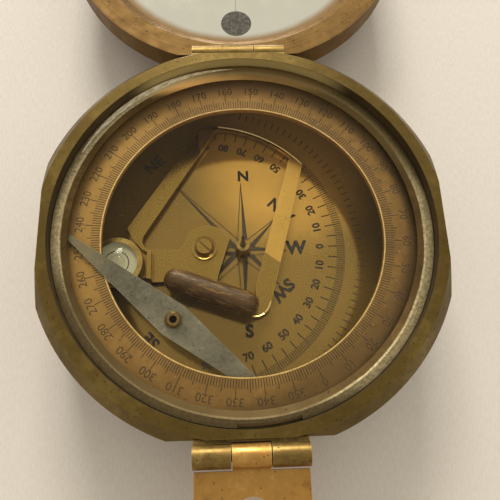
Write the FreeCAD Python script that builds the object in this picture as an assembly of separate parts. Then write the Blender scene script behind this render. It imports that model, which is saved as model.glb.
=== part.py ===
"""A brass pocket transit: compass, clinometer, mirror lid and folding sight arm.

Millimetres, +Z up. The origin is on the base, under the compass pivot. +Y points to the
lid's hinge, and the sight arm is hinged on the -Y side. The lid and the arm lie open.
"""
import FreeCAD
import Part
import math
import os

FULL_TURN = 360.0
HALF_TURN = 180.0
OVER = 1.0                    # how far a cutting tool runs past the face that it cuts
RUN = 0.05                    # running clearance of a shaft, all round
PLAY = 0.2                    # axial gap beside a knuckle

# Case: a turned bowl with four flats, bored in steps from the well outwards
CASE_H = 24.0
FLOOR_Z = 4.4
WELL_R = 36.5
LAND_W = 0.5                  # inner land that carries the azimuth ring
GROOVE_W = 1.2                # groove that the ring's teeth run in
GROOVE_DEPTH = 1.8
SEAT_W = 0.5                  # seat of the crystal
CRYSTAL_DROP = 4.3            # seat, below the rim
RING_DROP = 2.5               # ring's seat, below the crystal's
FLAT_WALL = 1.5               # from the upper bore to each flat
RIM_W = 2.3                   # flat top of the rim
CASE_WALL = 4.3
RIM_CHAMFER_H = 2.4
BASE_CHAMFER = 1.0
GROOVE_R = WELL_R + LAND_W
RING_BORE_R = GROOVE_R + GROOVE_W
BORE_R = RING_BORE_R + SEAT_W
CASE_FLAT = BORE_R + FLAT_WALL
RIM_R = BORE_R + RIM_W
CASE_R = BORE_R + CASE_WALL
CRYSTAL_SEAT_Z = CASE_H - CRYSTAL_DROP
RING_SEAT_Z = CRYSTAL_SEAT_Z - RING_DROP
GROOVE_Z = RING_SEAT_Z - GROOVE_DEPTH

# Dial plate, and the post and pin that carry the needle
DIAL_T = 1.6
DIAL_GAP = 0.1
DIAL_Z = FLOOR_Z + DIAL_T
POST_FOOT_R = 1.75
POST_NECK_R = 1.1
POST_COLLAR_R = 1.4
POST_H = 4.7
POST_COLLAR_H = 0.8
POST_STUB_R = 1.0
POST_MOUTH_R = 0.75
POST_MOUTH_DEPTH = 0.5
PIN_R = 0.4
PIN_POINT_H = 1.1
PIN_ROOM = 2.9                # from its point to the crystal

# Screws that hold the dial from below
BASE_SCREW_INSET = 5.5        # from the well's wall
BASE_SCREW_START_DEG = 30.0
BASE_SCREW_COUNT = 3
BASE_SCREW_R = 1.0
BASE_SCREW_HEAD_R = 2.1
BASE_SCREW_HEAD_H = 1.4
BASE_SCREW_SINK = 0.3
BASE_SCREW_GRIP = 1.0         # how far the shank goes into the dial plate
BASE_SCREW_PITCH_R = WELL_R - BASE_SCREW_INSET

# Azimuth ring, with crown teeth under its edge, and the pinion that turns it
RING_GAP = 0.1                # round the ring
RING_W = 8.9
RING_T = 1.15
RING_LIFT = 0.05
RING_OUT_R = RING_BORE_R - RING_GAP
RING_IN_R = RING_OUT_R - RING_W
RING_Z = RING_SEAT_Z + RING_LIFT
RING_TEETH = 150
PINION_TEETH = 10
TOOTH_IN_R = GROOVE_R + RING_GAP
TOOTH_OUT_R = RING_OUT_R - RING_GAP
TOOTH_PITCH_R = (TOOTH_IN_R + TOOTH_OUT_R) / 2
MODULE = 2 * TOOTH_PITCH_R / RING_TEETH
TOOTH_ADD_share = 0.8         # shares of the module
TOOTH_DED_share = 1.15
TOOTH_WIDTH_share = 0.40      # share of the pitch, at the pitch line
TOOTH_START_share = 0.5       # share of the pitch, from the pinion's middle to the first tooth
INVOLUTE_POINTS = 5
PRESSURE_DEG = 20.0
PINION_PITCH_R = MODULE * PINION_TEETH / 2
PINION_Z = RING_Z - TOOTH_DED_share * MODULE - PINION_PITCH_R
PINION_SHAFT_R = 1.2
PINION_GAP = 0.15
BUSH_R = 2.9
BUSH_FLANGE_R = 3.7
BUSH_FLANGE_T = 0.6
PINION_HEAD_R = 2.5
PINION_HEAD_T = 1.4
SLOT_W = 0.6
SLOT_DEPTH = 0.6

# Crystal and the bezel ring over it
CRYSTAL_GAP = 0.1
CRYSTAL_T = 1.0
BEZEL_GAP = 0.2
BEZEL_LIP_W = 1.5             # flat top of the ring
BEZEL_CONE_W = 1.6            # its sloping inner face
CRYSTAL_R = BORE_R - CRYSTAL_GAP
BEZEL_R = BORE_R - BEZEL_GAP
BEZEL_LIP_R = BEZEL_R - BEZEL_LIP_W
BEZEL_IN_R = BEZEL_LIP_R - BEZEL_CONE_W
BEZEL_T = 0.8
BEZEL_EDGE_T = 0.2
BEZEL_NOTCH_DEPTH = 0.8
BEZEL_NOTCH_FROM_DEG = -93.6
BEZEL_NOTCH_TO_DEG = -75.6

# Compass needle: slipped off its pin, its tip caught between the ring and the crystal
NEEDLE_HALF = 28.0
NEEDLE_HALF_W = 3.5
NEEDLE_TIP_HALF_W = 0.5
NEEDLE_T = 0.4
NEEDLE_MISS_share = 0.78      # how far it lies from the case's axis, a share of RING_IN_R
NEEDLE_WALL_GAP = 0.4         # least room between its ends and the well's wall
NEEDLE_DEG = -39.4
NEEDLE_LIFT = 0.12            # above the ring's inner edge, and under the crystal
HUB_BORE_R = 1.25
HUB_R = 1.7
HUB_FLANGE_T = 0.35
HUB_H = 1.5
JEWEL_CUP_R = 0.8

# Clinometer arm: a flat frame on an arbor that goes through the floor
ARM_X_share = -0.2356         # its pivot and its reach, in shares of WELL_R
ARM_Y_share = 0.0082
ARM_R_share = 0.8493
ARM_X = WELL_R * ARM_X_share
ARM_Y = WELL_R * ARM_Y_share
ARM_R = WELL_R * ARM_R_share  # outer radius of the frame's arc
ARM_BAR_share = 0.024         # width of the thin arc bar, a share of ARM_R
ARM_LIFT = 1.2                # above the dial
ARM_T = 0.9
ARM_Z = DIAL_Z + ARM_LIFT
ARM_TOP = ARM_Z + ARM_T
ARBOR_R = 1.5
ARBOR_COLLAR_R = 2.4
ARBOR_COLLAR_T = 0.35
ARBOR_BUSH_R = 2.6
ARBOR_NECK_R = 1.0            # where the lever and the frame sit on it
WASHER_R = 2.8
WASHER_T = 0.7
WASHER_DISH = 0.35
ARM_SCREW_R = 1.65
ARM_SCREW_H = 1.1
ARM_SCREW_SLOT_DEG = -42.0
FLANGE_T = 0.8
FLANGE_H = 3.2

# Points of the arm's frame round its pivot, as shares of ARM_R
FRAME_LEFT_LEG_shares = [(-0.036, 0.947), (-0.561, 0.168), (-0.513, 0.074), (-0.445, 0.0), (-0.373, -0.035)]
FRAME_FOOT_shares = [(-0.371, -0.244), (-0.229, -0.240), (-0.206, -0.310), (0.318, -0.513)]
FRAME_CORNER_shares = [(0.420, -0.492), (0.468, -0.400)]
FRAME_RIGHT_LEG_shares = [(0.590, 0.042), (0.748, 0.642)]
FRAME_ARC_MID_DEG = 66.0
FRAME_ARC_END_DEG = 84.0
WINDOW_LEFT_shares = [(-0.442, 0.106)]
WINDOW_CORNER_shares = [(-0.438, 0.030), (-0.387, -0.003)]
WINDOW_TAB_LEFT_shares = [(-0.177, -0.006), (-0.135, 0.055), (-0.110, 0.119)]
WINDOW_TAB_TOP_shares = [(0.016, 0.172), (0.135, 0.130)]
WINDOW_TAB_RIGHT_shares = [(0.184, 0.070), (0.100, -0.187), (0.071, -0.313), (0.290, -0.394)]
WINDOW_RIGHT_CORNER_shares = [(0.345, -0.375), (0.358, -0.310)]
WINDOW_RIGHT_shares = [(0.652, 0.710)]
FLANGE_shares = [(-0.400, -0.235), (-0.400, -0.030)]

# Tubular level on the arm
VIAL_R = 2.6
VIAL_BORE_R = 1.9
VIAL_CONE_share = 0.6         # of the bore's radius
VIAL_FROM_shares = (-0.232, -0.248)
VIAL_TO_shares = (0.329, -0.453)
CRADLE_WALL = 0.3
CRADLE_FOOT_H = 0.35
CRADLE_FOOT_W = 2.4
CRADLE_LENGTH_share = 0.68    # of the vial

# Round level on the arm
BULL_X_share = -0.606
BULL_Y_share = -0.126
BULL_R = 5.6
BULL_GLASS_R = 4.5
BULL_CUP_H = 3.7
BULL_FLOOR = 0.9
BULL_WALL = 0.9
BULL_LIP_T = 0.6
BULL_DOME_H = 1.7
BULL_TONGUE_HALF_W = 2.6

# Lever on the back that turns the arbor, in a recess of the base
LEVER_DEG = 252.0
LEVER_L = 14.0
LEVER_HUB_R = 3.6
LEVER_TIP_R = 2.3
LEVER_ROOM = 0.2              # past the lever's tip
LEVER_SIDE_ROOM = 1.3         # past its side, at the end of its travel
LEVER_HUB_ROOM = 1.6
LEVER_RECESS_R = LEVER_L + LEVER_TIP_R + LEVER_ROOM
LEVER_RECESS_H = 2.6
LEVER_HUB_ROOM_R = LEVER_HUB_R + LEVER_HUB_ROOM
LEVER_T = 1.2
LEVER_PAD_H = 0.5
SPRING_WASHER_R = 3.0
SPRING_WASHER_T = 0.35
LEVER_SCREW_R = 2.0
LEVER_SCREW_H = 0.75
LEVER_SCREW_Z = 0.25
LEVER_Z = LEVER_SCREW_Z + LEVER_SCREW_H

# Lid, modelled closed on the case and then opened half a turn
LID_STEP = 1.0                # the lid is this much smaller all round than the case
LID_FLAT_STEP = 0.6
LID_H = 7.2
LID_ROUND = 1.8
LID_RIM_W = 4.9
LID_REST_GAP = 0.05           # between the closed lid's rim and the case's
LID_TOP_T = 1.8
LID_R = CASE_R - LID_STEP
LID_FLAT = CASE_FLAT - LID_FLAT_STEP
LID_RIM_IN_R = LID_R - LID_RIM_W
MIRROR_DEPTH = 2.8            # below the lid's rim
MIRROR_GAP = 0.3
MIRROR_T = 1.6
MIRROR_RING_W = 3.2
MIRROR_RING_STEP = 0.8        # the ring's top, below the lid's rim
MIRROR_R = LID_RIM_IN_R - MIRROR_GAP
MIRROR_RING_IN_R = LID_RIM_IN_R - MIRROR_RING_W
WINDOW_INSET = 5.4            # from the ring to the middle of the sighting window
WINDOW_R = 3.7
WINDOW_Y = MIRROR_RING_IN_R - WINDOW_INSET
LID_NOTCH_ROOM = 0.8          # beside the sight arm
LID_NOTCH_H = 2.4

# Hinges
HINGE_HALF_W = 10.3
KNUCKLE_HALF_W = 3.4
LEAF_T = 1.0
LEAF_DROP = 13.0
LID_BARREL_R = 1.9
LID_PIN_R = 0.8
LID_AXIS_GAP = 0.3            # between the barrel and the case's flat
LID_AXIS_DROP = 3.5           # below the case's rim
LID_AXIS_Y = CASE_FLAT + LID_BARREL_R + LID_AXIS_GAP
LID_AXIS_Z = CASE_H - LID_AXIS_DROP
LID_WEB_HALF_T = 0.8
LID_LEAF_RISE = 5.2
LID_LEAF_GAP = 0.3            # between the lid's leaf and the case's rim
SIGHT_BARREL_R = 2.1
SIGHT_PIN_R = 0.9
SIGHT_AXIS_GAP = 0.7
SIGHT_AXIS_DROP = 0.4
SIGHT_AXIS_Y = -(CASE_FLAT + SIGHT_BARREL_R + SIGHT_AXIS_GAP)
SIGHT_AXIS_Z = CASE_H - SIGHT_AXIS_DROP
LEAF_TOP_GAP = 0.6            # leaf's top edge, below the case's rim
KNUCKLE_ROOM = 0.3            # round a knuckle, where it turns past a leaf
HINGE_SCREW_X = 6.5
HINGE_SCREW_R = 0.8
HINGE_SCREW_HEAD_R = 1.4
HINGE_SCREW_HEAD_H = 0.5
HINGE_SCREW_L = 2.2
HINGE_SCREW_RISE = 2.6        # above the leaf's lower edge

# Sight arm
PLATE_T = 1.2
PLATE_HALF_W = 10.2
PLATE_TIP_HALF_W = 7.4
PLATE_L = 61.0                # from the hinge's axis to the tip hinge's axis
PLATE_GAP = 0.4               # between the knuckles and the plate's end
PLATE_START = SIGHT_BARREL_R + PLATE_GAP
PLATE_TAPER_FROM = 30.0
SLOT_HALF_W = 3.2
SLOT_FROM = 6.7
SLOT_TO = 46.0

# Folding sights, on the arm's tip and on the lid
TIP_BARREL_R = 1.1
TIP_PIN_R = 0.5
TIP_KNUCKLE_HALF_W = 2.4
TIP_KNUCKLE_END = 6.6
TIP_AXIS_RISE = 0.15          # above the plate's top
TIP_SIGHT_T = 0.8
TIP_SIGHT_HALF_W = 6.4
TIP_SIGHT_L = 9.5
PEEP_R = 0.8
PEEP_FROM_TOP = 3.0
LID_SIGHT_INSET = 3.2         # from the lid's far flat to the hinge's axis
LID_SIGHT_Y = LID_SIGHT_INSET - LID_FLAT
LID_SIGHT_BARREL_R = 1.0
LID_SIGHT_PIN_R = 0.45
LID_SIGHT_LEAF_T = 0.7
LID_SIGHT_LEAF_L = 5.0
LID_SIGHT_HALF_W = 5.0
LID_SIGHT_KNUCKLE_HALF_W = 2.0
LID_SIGHT_T = 0.7
LID_SIGHT_L = 8.5

X_AXIS = FreeCAD.Vector(1, 0, 0)
Y_AXIS = FreeCAD.Vector(0, 1, 0)
Z_AXIS = FreeCAD.Vector(0, 0, 1)
NODES = {}


def at(x, y, z=0.0):
    """A point."""
    return FreeCAD.Vector(x, y, z)


def rod(r, low, high, x=0.0, y=0.0):
    """An upright cylinder between two heights."""
    return Part.makeCylinder(r, high - low, at(x, y, low))


def cross_rod(r, x0, x1, y, z):
    """A cylinder along X."""
    return Part.makeCylinder(r, x1 - x0, at(x0, y, z), X_AXIS)


def block(x0, x1, y0, y1, z0, z1):
    """A box between two corners."""
    return Part.makeBox(x1 - x0, y1 - y0, z1 - z0, at(x0, y0, z0))


def turned(points, x=0.0, y=0.0):
    """A solid of revolution from the (radius, height) corners of its half section."""
    corners = [at(r, 0, z) for r, z in points]
    face = Part.Face(Part.makePolygon(corners + corners[:1]))
    solid = face.revolve(at(0, 0, 0), Z_AXIS, FULL_TURN)
    solid.translate(at(x, y, 0))
    return solid


def slab(edges, low, high):
    """A plate with this closed outline, between two heights."""
    face = Part.Face(Part.Wire(edges))
    face.translate(at(0, 0, low))
    return face.extrude(at(0, 0, high - low))


def run(points):
    """Straight edges through these points."""
    return [Part.makeLine(a, b) for a, b in zip(points, points[1:])]


def bend(start, middle, end):
    """An arc edge through three points."""
    return Part.Arc(start, middle, end).toShape()


def cut(solid, *tools):
    """The solid without the tools."""
    for tool in tools:
        solid = solid.cut(tool)
    return solid


def joined(*solids):
    """The solids as one, with the seams between flush faces removed."""
    whole = solids[0]
    for solid in solids[1:]:
        whole = whole.fuse(solid)
    return whole.removeSplitter()


def spun(solid, degrees, x=0.0, y=0.0):
    """A copy turned about an upright axis."""
    copy = solid.copy()
    copy.rotate(at(x, y, 0), Z_AXIS, degrees)
    return copy


def keep(name, shape):
    """Stores a node's shape under its name."""
    NODES[name] = shape


def make_case():
    """The bowl: bored in steps for the crystal, the azimuth ring and the well."""
    body = turned([
        (0, 0), (CASE_R - BASE_CHAMFER, 0), (CASE_R, BASE_CHAMFER), (CASE_R, CASE_H - RIM_CHAMFER_H),
        (RIM_R, CASE_H), (BORE_R, CASE_H), (BORE_R, CRYSTAL_SEAT_Z), (RING_BORE_R, CRYSTAL_SEAT_Z),
        (RING_BORE_R, GROOVE_Z), (GROOVE_R, GROOVE_Z), (GROOVE_R, RING_SEAT_Z), (WELL_R, RING_SEAT_Z),
        (WELL_R, FLOOR_Z), (0, FLOOR_Z)])
    body = body.common(block(-CASE_FLAT, CASE_FLAT, -CASE_FLAT, CASE_FLAT, -OVER, CASE_H + OVER))
    recess = rod(LEVER_RECESS_R, -OVER, LEVER_RECESS_H, ARM_X, ARM_Y)
    side = ARM_X + LEVER_TIP_R + LEVER_SIDE_ROOM
    recess = recess.common(block(-CASE_R, side, -CASE_R, CASE_R, -OVER, LEVER_RECESS_H))
    hub_room = rod(LEVER_HUB_ROOM_R, -OVER, LEVER_RECESS_H, ARM_X, ARM_Y)
    arbor_hole = rod(ARBOR_BUSH_R, -OVER, FLOOR_Z + OVER, ARM_X, ARM_Y)
    outer = PINION_PITCH_R + MODULE * TOOTH_ADD_share
    pocket = block(GROOVE_R - PINION_GAP, RING_BORE_R + PINION_GAP, -outer - PINION_GAP, outer + PINION_GAP,
                   PINION_Z - outer - PINION_GAP, RING_SEAT_Z)
    bush_hole = cross_rod(BUSH_R, RING_BORE_R + PINION_GAP, CASE_FLAT + OVER, 0, PINION_Z)
    body = cut(body, recess, hub_room, arbor_hole, pocket, bush_hole)
    body = cut(body, *[base_screw(x, y, False) for x, y in base_screw_places()])
    return cut(body, *[screw for side in (1, -1) for screw in hinge_screws(side, False)])


def base_screw_places():
    """Where the screws go up through the base."""
    angles = [math.radians(BASE_SCREW_START_DEG + i * FULL_TURN / BASE_SCREW_COUNT)
              for i in range(BASE_SCREW_COUNT)]
    return [(BASE_SCREW_PITCH_R * math.cos(a), BASE_SCREW_PITCH_R * math.sin(a)) for a in angles]


def base_screw(x, y, slotted=True):
    """A countersunk screw from below; without its slot it is the hole that it fills."""
    low = BASE_SCREW_SINK if slotted else -OVER
    neck = BASE_SCREW_SINK + BASE_SCREW_HEAD_H
    points = [(0, low), (BASE_SCREW_HEAD_R, low), (BASE_SCREW_HEAD_R, BASE_SCREW_SINK),
              (BASE_SCREW_R, neck), (BASE_SCREW_R, FLOOR_Z + BASE_SCREW_GRIP), (0, FLOOR_Z + BASE_SCREW_GRIP)]
    if slotted:
        points.pop(2)
    screw = turned(points, x, y)
    if not slotted:
        return screw
    slot = block(x - BASE_SCREW_HEAD_R, x + BASE_SCREW_HEAD_R, y - SLOT_W / 2, y + SLOT_W / 2,
                 low - OVER, low + SLOT_DEPTH)
    return cut(screw, slot)


def make_dial():
    """The engraved plate, with holes for the post, the arbor's bush and the screws."""
    plate = rod(WELL_R - DIAL_GAP, FLOOR_Z, DIAL_Z)
    plate = cut(plate, rod(POST_STUB_R, FLOOR_Z - OVER, DIAL_Z + OVER),
                rod(ARBOR_BUSH_R, FLOOR_Z - OVER, DIAL_Z + OVER, ARM_X, ARM_Y))
    return cut(plate, *[base_screw(x, y, False) for x, y in base_screw_places()])


def make_pivot():
    """The tapered post with its collar, and the steel pin that the needle should ride on."""
    top = DIAL_Z + POST_H
    collar = top - POST_COLLAR_H
    mouth = top - POST_MOUTH_DEPTH
    post = turned([
        (0, FLOOR_Z), (POST_STUB_R, FLOOR_Z), (POST_STUB_R, DIAL_Z), (POST_FOOT_R, DIAL_Z),
        (POST_NECK_R, collar), (POST_COLLAR_R, collar), (POST_COLLAR_R, top), (POST_MOUTH_R, top),
        (POST_MOUTH_R, mouth), (PIN_R, mouth), (PIN_R, DIAL_Z), (0, DIAL_Z)])
    tip = CRYSTAL_SEAT_Z - PIN_ROOM
    pin = turned([(0, DIAL_Z), (PIN_R, DIAL_Z), (PIN_R, tip - PIN_POINT_H), (0, tip)])
    keep("pivot_post", post)
    keep("pivot_pin", pin)


def rack_tooth():
    """One crown tooth at angle zero: a trapezoid under the ring, pointing down."""
    lean = math.tan(math.radians(PRESSURE_DEG))
    pitch = 2 * math.pi * TOOTH_PITCH_R / RING_TEETH
    line = RING_Z - TOOTH_DED_share * MODULE
    half = pitch * TOOTH_WIDTH_share / 2
    root = half + TOOTH_DED_share * MODULE * lean
    tip = half - TOOTH_ADD_share * MODULE * lean
    low = line - TOOTH_ADD_share * MODULE
    corners = [at(TOOTH_IN_R, -root, RING_Z), at(TOOTH_IN_R, root, RING_Z),
               at(TOOTH_IN_R, tip, low), at(TOOTH_IN_R, -tip, low)]
    return Part.Face(Part.makePolygon(corners + corners[:1])).extrude(at(TOOTH_OUT_R - TOOTH_IN_R, 0, 0))


def make_ring():
    """The azimuth ring: a flat ring with crown teeth under its outer edge."""
    top = RING_Z + RING_T
    plain = cut(rod(RING_OUT_R, RING_Z, top), rod(RING_IN_R, RING_Z - OVER, top + OVER))
    tooth = rack_tooth()
    step = FULL_TURN / RING_TEETH
    teeth = Part.makeCompound([spun(tooth, (i + TOOTH_START_share) * step) for i in range(RING_TEETH)])
    return plain.fuse(teeth).Solids[0]


def involute(base_r, out_r):
    """Points of an involute flank from the base circle to the outer circle."""
    limit = math.sqrt((out_r / base_r) ** 2 - 1)
    ts = [limit * i / (INVOLUTE_POINTS - 1) for i in range(INVOLUTE_POINTS)]
    return [(base_r * math.hypot(1, t), t - math.atan(t)) for t in ts]


def make_pinion():
    """The pinion with its shaft and slotted head, and the bush that it turns in."""
    base_r = PINION_PITCH_R * math.cos(math.radians(PRESSURE_DEG))
    out_r = PINION_PITCH_R + MODULE * TOOTH_ADD_share
    root_r = PINION_PITCH_R - MODULE * TOOTH_DED_share
    lean = math.radians(PRESSURE_DEG)
    half = math.pi * TOOTH_WIDTH_share / PINION_TEETH + math.tan(lean) - lean
    flank = [(r, half - roll) for r, roll in involute(base_r, out_r)]
    side = [(root_r, half)] + flank
    points = []
    for i in range(PINION_TEETH):
        middle = math.pi / 2 + 2 * math.pi * i / PINION_TEETH
        points += [(r, middle - a) for r, a in side]
        points += [(r, middle + a) for r, a in reversed(side)]
    inner = GROOVE_R + PINION_GAP
    outer = RING_BORE_R - PINION_GAP
    corners = [at(inner, r * math.cos(a), PINION_Z + r * math.sin(a)) for r, a in points]
    wheel = Part.Face(Part.makePolygon(corners + corners[:1])).extrude(at(outer - inner, 0, 0))
    head = CASE_FLAT + BUSH_FLANGE_T + PINION_GAP
    end = head + PINION_HEAD_T
    shaft = cross_rod(PINION_SHAFT_R, inner, head, 0, PINION_Z)
    knob = cross_rod(PINION_HEAD_R, head, end, 0, PINION_Z)
    slot = block(end - SLOT_DEPTH, end + OVER, -SLOT_W / 2, SLOT_W / 2,
                 PINION_Z - PINION_HEAD_R - OVER, PINION_Z + PINION_HEAD_R + OVER)
    keep("ring_pinion", cut(joined(wheel, shaft, knob), slot))
    bush = joined(cross_rod(BUSH_R, RING_BORE_R + PINION_GAP, CASE_FLAT, 0, PINION_Z),
                  cross_rod(BUSH_FLANGE_R, CASE_FLAT, CASE_FLAT + BUSH_FLANGE_T, 0, PINION_Z))
    keep("pinion_bush", cut(bush, cross_rod(PINION_SHAFT_R + RUN, RING_BORE_R - OVER,
                                            CASE_FLAT + BUSH_FLANGE_T + OVER, 0, PINION_Z)))


def make_glazing():
    """The crystal on its seat, and the bezel ring that holds it, with a notch to lift it by."""
    top = CRYSTAL_SEAT_Z + CRYSTAL_T
    keep("crystal", rod(CRYSTAL_R, CRYSTAL_SEAT_Z, top))
    ring = turned([(BEZEL_IN_R, top), (BEZEL_R, top), (BEZEL_R, top + BEZEL_T),
                   (BEZEL_LIP_R, top + BEZEL_T), (BEZEL_IN_R, top + BEZEL_EDGE_T)])
    wedge = Part.makeCylinder(BORE_R, BEZEL_T + 2 * OVER, at(0, 0, top - OVER), Z_AXIS,
                              BEZEL_NOTCH_TO_DEG - BEZEL_NOTCH_FROM_DEG)
    wedge = cut(wedge, rod(BEZEL_R - BEZEL_NOTCH_DEPTH, top - 2 * OVER, top + BEZEL_T + 2 * OVER))
    keep("bezel_ring", cut(ring, spun(wedge, BEZEL_NOTCH_FROM_DEG)))


def make_needle():
    """The lozenge needle with its capped hub, lying as it fell: one end over the ring, one under."""
    tip = NEEDLE_HALF - NEEDLE_TIP_HALF_W
    right = at(NEEDLE_HALF, 0)
    left = at(-NEEDLE_HALF, 0)
    top = at(0, NEEDLE_HALF_W)
    bottom = at(0, -NEEDLE_HALF_W)
    ends = [at(s * tip, t * NEEDLE_TIP_HALF_W) for s, t in ((1, 1), (1, -1), (-1, -1), (-1, 1))]
    edges = run([top, ends[0]]) + [bend(ends[0], right, ends[1])] + run([ends[1], bottom, ends[2]])
    edges += [bend(ends[2], left, ends[3])] + run([ends[3], top])
    blade = cut(slab(edges, 0, NEEDLE_T), rod(HUB_BORE_R, -OVER, NEEDLE_T + OVER))
    hub = turned([(0, -HUB_FLANGE_T), (HUB_R, -HUB_FLANGE_T), (HUB_R, 0), (HUB_BORE_R, 0),
                  (HUB_BORE_R, NEEDLE_T), (HUB_R, NEEDLE_T), (HUB_R, NEEDLE_T + HUB_FLANGE_T),
                  (HUB_BORE_R, HUB_H), (JEWEL_CUP_R, HUB_H), (JEWEL_CUP_R, 0), (0, 0)])
    jewel = turned([(0, 0), (JEWEL_CUP_R, 0), (JEWEL_CUP_R, HUB_H - HUB_FLANGE_T), (0, HUB_FLANGE_T)])
    miss = needle_miss()
    turn = math.radians(NEEDLE_DEG)
    reach = NEEDLE_HALF - math.sqrt(RING_IN_R ** 2 - miss ** 2)
    low = RING_Z + RING_T + NEEDLE_LIFT
    high = CRYSTAL_SEAT_Z - NEEDLE_LIFT - NEEDLE_T
    tilt = math.degrees(math.atan2(high - low, reach))
    height = low - (NEEDLE_HALF - reach) * math.tan(math.radians(tilt))
    for name, piece in (("compass_needle", blade), ("needle_hub", hub), ("needle_jewel", jewel)):
        piece.rotate(at(0, 0, 0), Y_AXIS, tilt)
        piece.rotate(at(0, 0, 0), Z_AXIS, NEEDLE_DEG)
        piece.translate(at(miss * math.sin(turn), -miss * math.cos(turn), height))
        keep(name, piece)


def needle_miss():
    """How far the needle lies from the case's axis: nearer to it where its ends need the room."""
    fit = math.sqrt((WELL_R - NEEDLE_WALL_GAP) ** 2 - NEEDLE_HALF ** 2)
    return min(fit, RING_IN_R * NEEDLE_MISS_share)


def arm_point(share):
    """A point of the arm's frame from its shares of ARM_R."""
    return at(ARM_X + share[0] * ARM_R, ARM_Y + share[1] * ARM_R)


def arm_points(shares):
    """Several points of the arm's frame."""
    return [arm_point(s) for s in shares]


def on_arc(degrees, r):
    """A point round the arm's pivot."""
    a = math.radians(degrees)
    return at(ARM_X + r * math.cos(a), ARM_Y + r * math.sin(a))


def arm_outline():
    """The frame's outer edge, once round."""
    left = arm_points(FRAME_LEFT_LEG_shares)
    foot = arm_points(FRAME_FOOT_shares)
    corner = arm_points(FRAME_CORNER_shares)
    right = arm_points(FRAME_RIGHT_LEG_shares)
    top = on_arc(FRAME_ARC_END_DEG, ARM_R)
    edges = run([top] + left + foot) + [bend(foot[-1], corner[0], corner[1])]
    edges += run([corner[1]] + right)
    span = math.degrees(math.atan2(right[-1].y - ARM_Y, right[-1].x - ARM_X))
    start = on_arc(span, ARM_R)
    return edges + run([right[-1], start]) + [bend(start, on_arc(FRAME_ARC_MID_DEG, ARM_R), top)]


def arm_window():
    """The frame's inner edge, round the window that the pivot's post stands in."""
    r = ARM_R * (1 - ARM_BAR_share)
    right_top = arm_points(WINDOW_RIGHT_shares)[0]
    span = math.degrees(math.atan2(right_top.y - ARM_Y, right_top.x - ARM_X))
    start = on_arc(span, r)
    top = on_arc(FRAME_ARC_END_DEG, r)
    left = arm_points(WINDOW_LEFT_shares)
    corner = arm_points(WINDOW_CORNER_shares)
    tab = arm_points(WINDOW_TAB_LEFT_shares)
    crown = arm_points(WINDOW_TAB_TOP_shares)
    down = arm_points(WINDOW_TAB_RIGHT_shares)
    turn = arm_points(WINDOW_RIGHT_CORNER_shares)
    edges = [bend(start, on_arc(FRAME_ARC_MID_DEG, r), top)] + run([top] + left)
    edges += [bend(left[-1], corner[0], corner[1])] + run([corner[1]] + tab)
    edges += [bend(tab[-1], crown[0], crown[1])] + run([crown[1]] + down)
    return edges + [bend(down[-1], turn[0], turn[1])] + run([turn[1], right_top, start])


def make_arm():
    """The clinometer's frame, with the tongue under the round level and an upturned flange."""
    plate = cut(slab(arm_outline(), ARM_Z, ARM_TOP), slab(arm_window(), ARM_Z - OVER, ARM_TOP + OVER))
    bull = arm_point((BULL_X_share, BULL_Y_share))
    foot = arm_points(FLANGE_shares)
    tongue = joined(
        rod(BULL_TONGUE_HALF_W, ARM_Z, ARM_TOP, bull.x, bull.y),
        block(bull.x, foot[0].x + FLANGE_T, bull.y - BULL_TONGUE_HALF_W, bull.y + BULL_TONGUE_HALF_W,
              ARM_Z, ARM_TOP))
    root = arm_points([FRAME_LEFT_LEG_shares[-1]])[0]
    apron = block(foot[0].x, root.x + FLANGE_T, foot[0].y, foot[1].y, ARM_Z, ARM_TOP)
    flange = block(foot[0].x, foot[0].x + FLANGE_T, foot[0].y, foot[1].y, ARM_Z, ARM_Z + FLANGE_H)
    plate = joined(plate, tongue, apron, flange)
    keep("clinometer_frame", cut(plate, rod(ARBOR_NECK_R, ARM_Z - OVER, ARM_TOP + OVER, ARM_X, ARM_Y)))


def slotted_head(r, low, high, x, y, degrees):
    """A round screw head with a slot across its top."""
    slot = block(x - r - OVER, x + r + OVER, y - SLOT_W / 2, y + SLOT_W / 2, high - SLOT_DEPTH, high + OVER)
    return cut(rod(r, low, high, x, y), spun(slot, degrees, x, y))


def make_arbor():
    """The arbor, its bush, the cup washer and screw on top, and the lever below."""
    bush_top = ARM_Z - ARBOR_COLLAR_T
    arbor = joined(
        rod(ARBOR_NECK_R, LEVER_Z, ARM_TOP, ARM_X, ARM_Y),
        rod(ARBOR_R, LEVER_Z + LEVER_T, ARM_Z, ARM_X, ARM_Y),
        rod(ARBOR_COLLAR_R, bush_top, ARM_Z, ARM_X, ARM_Y))
    keep("clinometer_arbor", arbor)
    bush = rod(ARBOR_BUSH_R, LEVER_RECESS_H, bush_top - RUN, ARM_X, ARM_Y)
    keep("arbor_bush", cut(bush, rod(ARBOR_R + RUN, 0, CASE_H, ARM_X, ARM_Y)))
    washer_top = ARM_TOP + WASHER_T
    washer = turned([(0, ARM_TOP), (WASHER_R, ARM_TOP), (WASHER_R, washer_top),
                     (ARM_SCREW_R, washer_top - WASHER_DISH), (0, washer_top - WASHER_DISH)], ARM_X, ARM_Y)
    keep("arm_washer", washer)
    head_low = washer_top - WASHER_DISH
    head = slotted_head(ARM_SCREW_R, head_low, head_low + ARM_SCREW_H, ARM_X, ARM_Y, ARM_SCREW_SLOT_DEG)
    keep("arm_screw", head)
    make_lever()


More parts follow.
